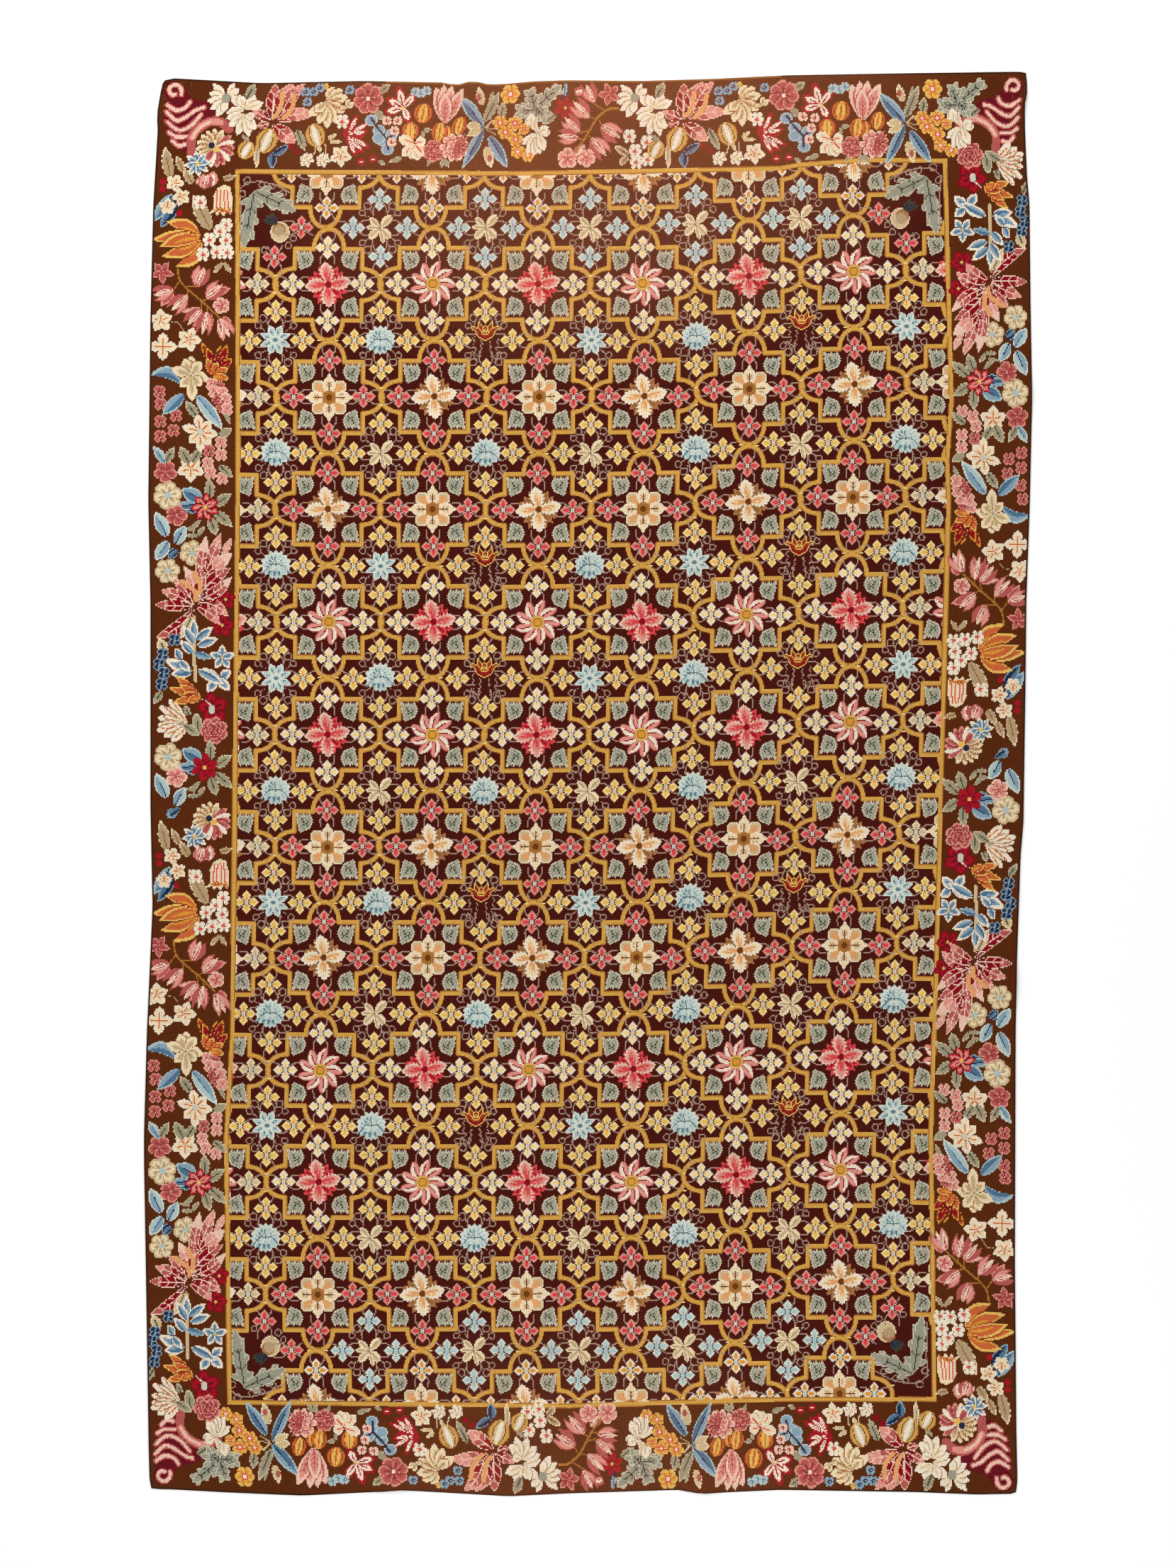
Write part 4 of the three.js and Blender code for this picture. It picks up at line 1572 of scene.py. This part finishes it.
def worked_twice(draw):
    ground = chart.copy()
    chart[:] = BARE
    draw()
    both = np.where(chart == BARE, chart[::-1, ::-1], chart)
    chart[:] = np.where(both == BARE, ground, both)


def horns():
    horn((-1167, 1954), 1)
    horn((-1199, -1948), -1)


def border_flowers():
    side_border()
    end_border()


worked_twice(horns)
worked_twice(border_flowers)
print("wools used:", len(np.unique(chart)))

# %% [markdown]
# ## Cockles
# A heavy rug doesn't lie quite down everywhere: it buckles a little at the edges and across the
# borders. Each cockle is a low oval mound. The solid has the same ones.

# %% Cloth mesh: height of the cloth over the floor
THICKNESS = 4.0
# columns: x, y, half-length, half-width, turn of the ridge in degrees, height
COCKLES = (
    (-322, 1975, 210, 62, 90, 13),
    (-1060, 1214, 190, 70, 12, 6),
    (1120, 1090, 240, 90, 4, 7),
    (1110, -560, 230, 90, -5, 7),
    (321, -1990, 190, 75, 86, 8),
    (-550, -1985, 170, 70, 95, 8),
    (1225, 1915, 110, 50, 20, 5),
)


def lift_at(x, y):
    lift = np.zeros(np.shape(x))
    for middle_x, middle_y, length, width, turn, height in COCKLES:
        angle = math.radians(turn)
        along = (x - middle_x) * math.cos(angle) + (y - middle_y) * math.sin(angle)
        across = (y - middle_y) * math.cos(angle) - (x - middle_x) * math.sin(angle)
        reach = np.clip((along / length) ** 2 + (across / width) ** 2, 0, 1)
        lift = np.maximum(lift, height * (1 - reach) ** 2)
    return lift


BLOCK = 8  # stitches between the bending lines of the cloth, which no face crosses


def block_lines(count):
    """Stitch numbers of the bending lines along one side of the chart."""
    return np.minimum(np.arange(0, count + BLOCK, BLOCK), count)


LINE_COLUMNS, LINE_ROWS = block_lines(COLUMNS), block_lines(ROWS)
GRID_LIFT = lift_at(*cloth_point(*np.meshgrid(LINE_COLUMNS / COLUMNS, LINE_ROWS / ROWS)))


def cloth_place(column, row, height=THICKNESS, share=1.0):
    """Metres from the rug's origin, for a crossing of the chart's lines. The cloth is straight
    between its bending lines, and takes a share of the cockles' height."""
    column, row = np.asarray(column, float), np.asarray(row, float)
    x, y = cloth_point(column / COLUMNS, row / ROWS)
    i = np.minimum((column / BLOCK).astype(int), len(LINE_COLUMNS) - 2)
    j = np.minimum((row / BLOCK).astype(int), len(LINE_ROWS) - 2)
    u = (column - LINE_COLUMNS[i]) / (LINE_COLUMNS[i + 1] - LINE_COLUMNS[i])
    v = (row - LINE_ROWS[j]) / (LINE_ROWS[j + 1] - LINE_ROWS[j])
    low = GRID_LIFT[j, i] * (1 - u) + GRID_LIFT[j, i + 1] * u
    high = GRID_LIFT[j + 1, i] * (1 - u) + GRID_LIFT[j + 1, i + 1] * u
    lift = (low * (1 - v) + high * v) * share
    return np.stack([x * MM, y * MM, (lift + height) * MM], axis=-1)


# %% [markdown]
# ## Camera, floor and light
# The rug is looked at from straight above through a long lens, on a pale floor in even, soft light,
# so that the wool's own colours carry the picture.

# %% Camera, floor, light
VIEW_HEIGHT = 12.0
FRAME_TALL = 4.424  # metres of floor from the top to the bottom of the picture
SENSOR_TALL = 36.0

camera_data = bpy.data.cameras.new("camera")
camera_data.sensor_fit = "VERTICAL"
camera_data.sensor_height = SENSOR_TALL
camera_data.lens = SENSOR_TALL * VIEW_HEIGHT / FRAME_TALL
camera_data.clip_end = 100
camera = bpy.data.objects.new("camera", camera_data)
camera.location = (0, 0, VIEW_HEIGHT)
bpy.context.collection.objects.link(camera)
bpy.context.scene.camera = camera
bpy.context.scene.view_settings.view_transform = "Standard"

world = bpy.data.worlds.new("studio")
world.use_nodes = True
world.node_tree.nodes["Background"].inputs["Color"].default_value = (1, 1, 1, 1)
world.node_tree.nodes["Background"].inputs["Strength"].default_value = 0.74
bpy.context.scene.world = world

# columns: name, place, place that it is aimed at, watts, size
SOFT_BOXES = (
    ("soft box left", (-4.5, 2.0, 4.2), (0, 0, 0), 120, 3.0),
    ("soft box right", (4.5, -1.0, 5.5), (0, 0, 0), 60, 4.0),
    ("soft box at the top", (0.0, 3.1, 1.7), (0, 1.5, 0), 26, 1.2),
    ("soft box at the bottom", (0.1, -3.1, 1.7), (0, -1.5, 0), 14, 1.2),
)
for name, place, aim, power, size in SOFT_BOXES:
    lamp = bpy.data.lights.new(name, "AREA")
    lamp.energy = power
    lamp.size = size
    lamp_object = bpy.data.objects.new(name, lamp)
    lamp_object.location = place
    towards = Vector(aim) - Vector(place)
    lamp_object.rotation_euler = towards.to_track_quat("-Z", "Y").to_euler()
    bpy.context.collection.objects.link(lamp_object)


def new_piece(name, mesh):
    piece = bpy.data.objects.new(name, mesh)
    bpy.context.collection.objects.link(piece)
    return piece


def linear(colour):
    """Usual 0 to 255 colour to the light values that a shader works in."""
    share = np.array(colour) / 255
    return tuple(np.where(share <= 0.04045, share / 12.92, ((share + 0.055) / 1.055) ** 2.4))


DYE_DEPTH = 1.1  # how much stronger a wool looks stitched than as a name on the list


def dyed(colour):
    """Light values of a wool: its weaker parts are brought down, which deepens the dye."""
    strongest = max(colour)
    return linear([max(strongest - (strongest - part) * DYE_DEPTH, 0) for part in colour])


floor_bm = bmesh.new()
bmesh.ops.create_grid(floor_bm, x_segments=2, y_segments=2, size=9.0)
floor_mesh = bpy.data.meshes.new("floor")
floor_bm.to_mesh(floor_mesh)
floor_bm.free()
floor = new_piece("floor", floor_mesh)
floor_paint = bpy.data.materials.new("floor paint")
floor_paint.use_nodes = True
floor_shader = floor_paint.node_tree.nodes["Principled BSDF"]
floor_shader.inputs["Base Color"].default_value = (0.94, 0.94, 0.94, 1)
floor_shader.inputs["Roughness"].default_value = 0.9
floor_mesh.materials.append(floor_paint)

# %% [markdown]
# ## The wool's finish
# Every stitch is one short slanting strand. The material reads the chart's own squares from a UV map
# in stitches: it rounds each square into a slanting ridge for the bump, darkens the colour towards
# the edges of each square as painted shade in the grooves, gives each stitch a slightly different
# tone, and lets the dye change a little from row to row, as hand-dyed wool does. Over the middle of
# both ends it paints a tan sheen of light.

# %% Wool material


def add_node(tree, kind, **settings):
    node = tree.nodes.new(kind)
    for name, value in settings.items():
        setattr(node, name, value)
    return node


def math_node(tree, operation, first, second=None, third=None):
    node = add_node(tree, "ShaderNodeMath", operation=operation)
    for socket, value in zip(node.inputs, (first, second, third)):
        if value is None:
            continue
        if isinstance(value, (int, float)):
            socket.default_value = value
        else:
            tree.links.new(value, socket)
    return node.outputs[0]


def noise(tree, vector, scale, detail=2.0, stretch=None):
    if stretch:
        mapping = add_node(tree, "ShaderNodeMapping")
        mapping.inputs["Scale"].default_value = stretch
        tree.links.new(vector, mapping.inputs["Vector"])
        vector = mapping.outputs[0]
    texture = add_node(tree, "ShaderNodeTexNoise")
    texture.inputs["Scale"].default_value = scale
    texture.inputs["Detail"].default_value = detail
    tree.links.new(vector, texture.inputs["Vector"])
    return texture.outputs["Fac"]


SHEEN_TAN = (200, 124, 84)  # tan of the painted sheen of light over the middle of both ends


def painted_sheen(tree, colour, place):
    """Painted sheen of light: the wools are mixed towards tan in the middle of both ends, the dark ones
    most visibly.
    """
    split = add_node(tree, "ShaderNodeSeparateXYZ")
    tree.links.new(place, split.inputs[0])
    x, y = split.outputs[0], split.outputs[1]
    for end_y, reach_x, reach_y, most in ((2.05, 1.1, 0.95, 0.2), (-2.05, 0.8, 0.6, 0.08)):
        over_x = math_node(tree, "DIVIDE", x, reach_x)
        over_y = math_node(tree, "DIVIDE", math_node(tree, "SUBTRACT", y, end_y), reach_y)
        away = math_node(tree, "ADD", math_node(tree, "MULTIPLY", over_x, over_x),
                         math_node(tree, "MULTIPLY", over_y, over_y))
        near = math_node(tree, "MAXIMUM", math_node(tree, "SUBTRACT", 1.0, away), 0.0)
        mix = add_node(tree, "ShaderNodeMix", data_type="RGBA")
        mix.inputs[7].default_value = (*linear(SHEEN_TAN), 1)
        tree.links.new(math_node(tree, "MULTIPLY", near, most), mix.inputs[0])
        tree.links.new(colour, mix.inputs[6])
        colour = mix.outputs[2]
    return colour


def wool_material():
    material = bpy.data.materials.new("wool stitches")
    material.use_nodes = True
    tree = material.node_tree
    shader = tree.nodes["Principled BSDF"]
    shader.inputs["Roughness"].default_value = 0.92
    shader.inputs["Specular IOR Level"].default_value = 0.05
    shader.inputs["Sheen Weight"].default_value = 0.02
    colour = add_node(tree, "ShaderNodeAttribute", attribute_name="wool").outputs["Color"]
    squares = add_node(tree, "ShaderNodeUVMap", uv_map="stitches").outputs[0]
    place = add_node(tree, "ShaderNodeTexCoord").outputs["Object"]
    split = add_node(tree, "ShaderNodeSeparateXYZ")
    tree.links.new(squares, split.inputs[0])
    u, v = split.outputs[0], split.outputs[1]

    cell = add_node(tree, "ShaderNodeVectorMath", operation="FLOOR")
    tree.links.new(squares, cell.inputs[0])
    dice = add_node(tree, "ShaderNodeTexWhiteNoise", noise_dimensions="2D")
    tree.links.new(cell.outputs[0], dice.inputs["Vector"])
    tone = math_node(tree, "MULTIPLY_ADD", dice.outputs["Value"], 0.16, 0.92)
    batch = noise(tree, place, 1.0, 3.0, stretch=(1.6, 9.0, 1.0))
    patchy = noise(tree, place, 14.0, 3.0)
    batch = math_node(tree, "MULTIPLY_ADD", batch, 0.22, 0.89)
    patchy = math_node(tree, "MULTIPLY_ADD", patchy, 0.16, 0.92)
    tone = math_node(tree, "MULTIPLY", tone, math_node(tree, "MULTIPLY", batch, patchy))

    a = math_node(tree, "SUBTRACT", math_node(tree, "FRACT", u), 0.5)
    b = math_node(tree, "SUBTRACT", math_node(tree, "FRACT", v), 0.5)
    along = math_node(tree, "MULTIPLY", math_node(tree, "ADD", a, b), 0.62)
    across = math_node(tree, "MULTIPLY", math_node(tree, "SUBTRACT", a, b), 1.15)
    squared = math_node(tree, "ADD", math_node(tree, "MULTIPLY", along, along),
                        math_node(tree, "MULTIPLY", across, across))
    ridge = math_node(tree, "SUBTRACT", 1.0, math_node(tree, "MULTIPLY", squared, 2.6))
    # painted shade: the colour darkens towards the low edges of each stitch, where the grooves lie
    groove_shade = math_node(tree, "MULTIPLY_ADD", ridge, 0.34, 0.81)
    tone = math_node(tree, "MULTIPLY", tone, groove_shade)

    # painted sheen: a tan wash of light over the middle of both ends
    colour = painted_sheen(tree, colour, place)
    tint = add_node(tree, "ShaderNodeVectorMath", operation="SCALE")
    tree.links.new(colour, tint.inputs[0])
    tree.links.new(tone, tint.inputs["Scale"])
    tree.links.new(tint.outputs[0], shader.inputs["Base Color"])

    fibre = noise(tree, place, 900.0, 2.0)
    height = math_node(tree, "ADD", ridge, math_node(tree, "MULTIPLY", fibre, 0.35))
    bump = add_node(tree, "ShaderNodeBump")
    bump.inputs["Strength"].default_value = 0.6
    bump.inputs["Distance"].default_value = 0.0008
    tree.links.new(height, bump.inputs["Height"])
    tree.links.new(bump.outputs[0], shader.inputs["Normal"])
    return material


WOOL = wool_material()
print("wool shader nodes:", len(WOOL.node_tree.nodes))

# %% [markdown]
# ## From chart to cloth
# Stitches of one wool that lie side by side become one face: first runs along a row, then runs that
# repeat in the next row are joined. No face crosses the lines of a coarse grid, so the faces follow
# the cockles. No bmesh operator lays out such a patchwork, so its corners are worked out here.

# %% Patches of like stitches, and a panel made of them
def patches(columns, rows):
    """Rectangles of one wool within a panel: first and last column and row, and the wool."""
    found = []
    open_runs = {}
    grid = set(range(0, COLUMNS + 1, BLOCK))
    for row in range(*rows):
        wools = chart[row, columns[0]:columns[1]]
        edges = set((np.flatnonzero(np.diff(wools)) + 1 + columns[0]).tolist())
        edges |= {edge for edge in grid if columns[0] < edge < columns[1]}
        edges = [columns[0], *sorted(edges), columns[1]]
        runs = {}
        for start, end in zip(edges, edges[1:]):
            key = (start, end, int(wools[start - columns[0]]))
            runs[key] = open_runs.pop(key, row) if row % BLOCK else row
        found += [(start, end, first, row, wool) for (start, end, wool), first in open_runs.items()]
        open_runs = runs
    found += [(start, end, first, rows[1], wool) for (start, end, wool), first in open_runs.items()]
    return np.array(found)


def bake_layout(column, row, columns, rows, folds):
    """Place of a stitch in a square picture: a long panel is folded into strips side by side."""
    wide = columns[1] - columns[0]
    tall = rows[1] - rows[0]
    if wide > tall:
        return bake_layout(row, column, rows, columns, folds)
    share = np.clip((row - rows[0]) / tall * folds, 0, folds)
    return share, (column - columns[0]) / wide


def stitched_panel(name, columns, rows, folds):
    """One mesh of stitched faces, with its wool colours and its two UV maps."""
    found = patches(columns, rows)
    start, end, first, last, wool = found.T
    corner_columns = np.stack([start, end, end, start], axis=1).ravel()
    corner_rows = np.stack([first, first, last, last], axis=1).ravel()
    keys, corner_vertex = np.unique(corner_rows * (COLUMNS + 1) + corner_columns, return_inverse=True)
    vertex_rows, vertex_columns = np.divmod(keys, COLUMNS + 1)
    places = cloth_place(vertex_columns, vertex_rows)
    count = len(found)
    mesh = bpy.data.meshes.new(name)
    mesh.vertices.add(len(keys))
    mesh.vertices.foreach_set("co", places.ravel())
    mesh.loops.add(count * 4)
    mesh.loops.foreach_set("vertex_index", corner_vertex.ravel().astype(np.int32))
    mesh.polygons.add(count)
    mesh.polygons.foreach_set("loop_start", np.arange(0, count * 4, 4, dtype=np.int32))
    mesh.update(calc_edges=True)
    stitches = mesh.uv_layers.new(name="stitches")
    uv = np.stack([corner_columns, corner_rows], axis=1).astype(np.float32)
    stitches.data.foreach_set("uv", uv.ravel())
    strip, side = bake_layout(corner_columns, corner_rows, columns, rows, folds)
    middle = bake_layout((start + end) / 2, (first + last) / 2, columns, rows, folds)[0]
    fold = np.minimum(np.floor(np.repeat(middle, 4)), folds - 1)
    margin = 0.004
    flat_u = (fold + margin + np.clip(side, 0, 1) * (1 - 2 * margin)) / folds
    flat_v = margin + (strip - fold) * (1 - 2 * margin)
    layout = mesh.uv_layers.new(name="OFBake")
    layout.data.foreach_set("uv", np.stack([flat_u, flat_v], axis=1).astype(np.float32).ravel())
    tints = np.array([(*dyed(colour), 1.0) for colour in WOOLS.values()])
    colours = mesh.color_attributes.new("wool", "FLOAT_COLOR", "CORNER")
    colours.data.foreach_set("color", np.repeat(tints[wool], 4, axis=0).astype(np.float32).ravel())
    mesh.polygons.foreach_set("use_smooth", np.ones(count, bool))
    mesh.materials.append(WOOL)
    mesh.validate()
    piece = new_piece(name, mesh)
    print(name, "faces:", count)
    return piece


# %% Lay the panels
FIELD_COLUMNS = (72, 276, 480, 684)
FIELD_ROWS = (72, 1068)
PANELS = {  # columns, rows, strips in the bake layout
    "field_left": ((72, 276), FIELD_ROWS, 3),
    "field_middle": ((276, 480), FIELD_ROWS, 3),
    "field_right": ((480, 684), FIELD_ROWS, 3),
    "border_left": ((0, 72), (0, ROWS), 4),
    "border_right": ((684, COLUMNS), (0, ROWS), 4),
    "border_bottom": ((72, 684), (0, 72), 3),
    "border_top": ((72, 684), (1068, ROWS), 3),
}
stitched = [stitched_panel(name, *where) for name, where in PANELS.items()]

# %% [markdown]
# ## The canvas and the edge
# Under the stitches lies the canvas, which the floor sees. At the edge it is turned under and wool is
# sewn over the fold, strand beside strand, so the edge is a round, ribbed roll.

# %% Canvas under the stitches
CANVAS_TOP = 3.3  # mm, just under the stitches


def canvas_material():
    material = bpy.data.materials.new("canvas")
    material.use_nodes = True
    tree = material.node_tree
    shader = tree.nodes["Principled BSDF"]
    shader.inputs["Base Color"].default_value = (*linear((150, 128, 96)), 1)
    shader.inputs["Roughness"].default_value = 0.95
    shader.inputs["Specular IOR Level"].default_value = 0.1
    place = add_node(tree, "ShaderNodeTexCoord").outputs["Object"]
    mapping = add_node(tree, "ShaderNodeMapping")
    threads = (1000 / STITCH_WIDE * math.pi, 1000 / STITCH_TALL * math.pi, 1)
    mapping.inputs["Scale"].default_value = threads
    tree.links.new(place, mapping.inputs["Vector"])
    split = add_node(tree, "ShaderNodeSeparateXYZ")
    tree.links.new(mapping.outputs[0], split.inputs[0])
    warp = math_node(tree, "ABSOLUTE", math_node(tree, "SINE", split.outputs[0]))
    weft = math_node(tree, "ABSOLUTE", math_node(tree, "SINE", split.outputs[1]))
    bump = add_node(tree, "ShaderNodeBump")
    bump.inputs["Strength"].default_value = 0.5
    bump.inputs["Distance"].default_value = 0.0006
    tree.links.new(math_node(tree, "MULTIPLY", warp, weft), bump.inputs["Height"])
    tree.links.new(bump.outputs[0], shader.inputs["Normal"])
    return material


def canvas_piece():
    """Sheet bent along the same lines as the stitches, a little flatter over the cockles."""
    across, up = len(LINE_COLUMNS) - 1, len(LINE_ROWS) - 1
    bm = bmesh.new()
    bmesh.ops.create_grid(bm, x_segments=across, y_segments=up, size=0.5)
    for vert in bm.verts:
        column = LINE_COLUMNS[round((vert.co.x + 0.5) * across)]
        row = LINE_ROWS[round((vert.co.y + 0.5) * up)]
        vert.co = Vector(cloth_place(column, row, CANVAS_TOP, share=0.85))
    bmesh.ops.recalc_face_normals(bm, faces=bm.faces)
    if sum(face.normal.z for face in bm.faces) < 0:
        bmesh.ops.reverse_faces(bm, faces=bm.faces)
    bmesh.ops.solidify(bm, geom=bm.faces, thickness=(CANVAS_TOP - 0.2) * MM)
    bmesh.ops.recalc_face_normals(bm, faces=bm.faces)
    mesh = bpy.data.meshes.new("canvas")
    bm.to_mesh(mesh)
    bm.free()
    mesh.materials.append(canvas_material())
    return new_piece("canvas", mesh)


canvas = canvas_piece()
canvas_z = [vert.co.z for vert in canvas.data.vertices]
print("canvas from", round(min(canvas_z) / MM, 2), "to", round(max(canvas_z) / MM, 2), "mm")

# %% [markdown]
# The roll is a grid wrapped round the outline: eight faces round it, and a section at every bending
# line. Most of its wool is dark brown. Along the middle of the top border it is tan.

# %% Edge roll
ROLL_WIDE, ROLL_TALL = 6.0, 4.6  # mm
ROLL_INSET = 1.6
ROLL_SIDES = 8


def outline_sections():
    """Chart places along the edge, once round."""
    bottom = [(column, 0) for column in LINE_COLUMNS[:-1]]
    right = [(COLUMNS, row) for row in LINE_ROWS[:-1]]
    top = [(column, ROWS) for column in LINE_COLUMNS[:0:-1]]
    left = [(0, row) for row in LINE_ROWS[:0:-1]]
    return bottom + right + top + left


def edge_piece():
    sections = outline_sections()
    places = [Vector(cloth_place(column, row, ROLL_TALL / 2)) for column, row in sections]
    count = len(places)
    lengths = [0.0]
    for k in range(count):
        lengths.append(lengths[-1] + (places[(k + 1) % count] - places[k]).length / MM)
    bm = bmesh.new()
    bmesh.ops.create_grid(bm, x_segments=count, y_segments=ROLL_SIDES, size=0.5)
    stitches = bm.loops.layers.uv.new("stitches")
    layout = bm.loops.layers.uv.new("OFBake")
    colours = bm.loops.layers.float_color.new("wool")
    strips = 8
    for face in bm.faces:
        share = face.calc_center_median().x + 0.5
        at = places[int(share * count) % count]
        tan = at.y > 1.9 and -0.56 < at.x < 0.56
        wool = dyed(WOOLS["olive" if tan else "walnut"])
        for loop_ in face.loops:
            along, round_ = loop_.vert.co.x + 0.5, loop_.vert.co.y + 0.5
            run = lengths[round(along * count)]
            loop_[stitches].uv = (run / STITCH_WIDE, round_ * 4)
            strip = min(int(share * strips), strips - 1)
            loop_[layout].uv = ((strip + 0.06 + round_ * 0.88) / strips, along * strips - strip)
            loop_[colours] = (*wool, 1)
    for vert in bm.verts:
        k = round((vert.co.x + 0.5) * count) % count
        angle = (vert.co.y + 0.5) * math.tau
        ahead = places[(k + 1) % count] - places[k - 1]
        outwards = Vector((ahead.y, -ahead.x, 0)).normalized()
        off = ROLL_WIDE / 2 * math.cos(angle) - ROLL_INSET
        vert.co = places[k] + outwards * off * MM
        vert.co.z += ROLL_TALL / 2 * math.sin(angle) * MM
    bmesh.ops.remove_doubles(bm, verts=bm.verts, dist=1e-6)
    bmesh.ops.recalc_face_normals(bm, faces=bm.faces)
    for face in bm.faces:
        face.smooth = True
    mesh = bpy.data.meshes.new("edge_roll")
    bm.to_mesh(mesh)
    bm.free()
    mesh.materials.append(WOOL)
    return new_piece("edge_roll", mesh)


edge_roll = edge_piece()
print("edge roll faces:", len(edge_roll.data.polygons))

# %% Hand the pieces over
for piece in [canvas, edge_roll, *stitched]:
    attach(piece, "root")
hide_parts(NODE)
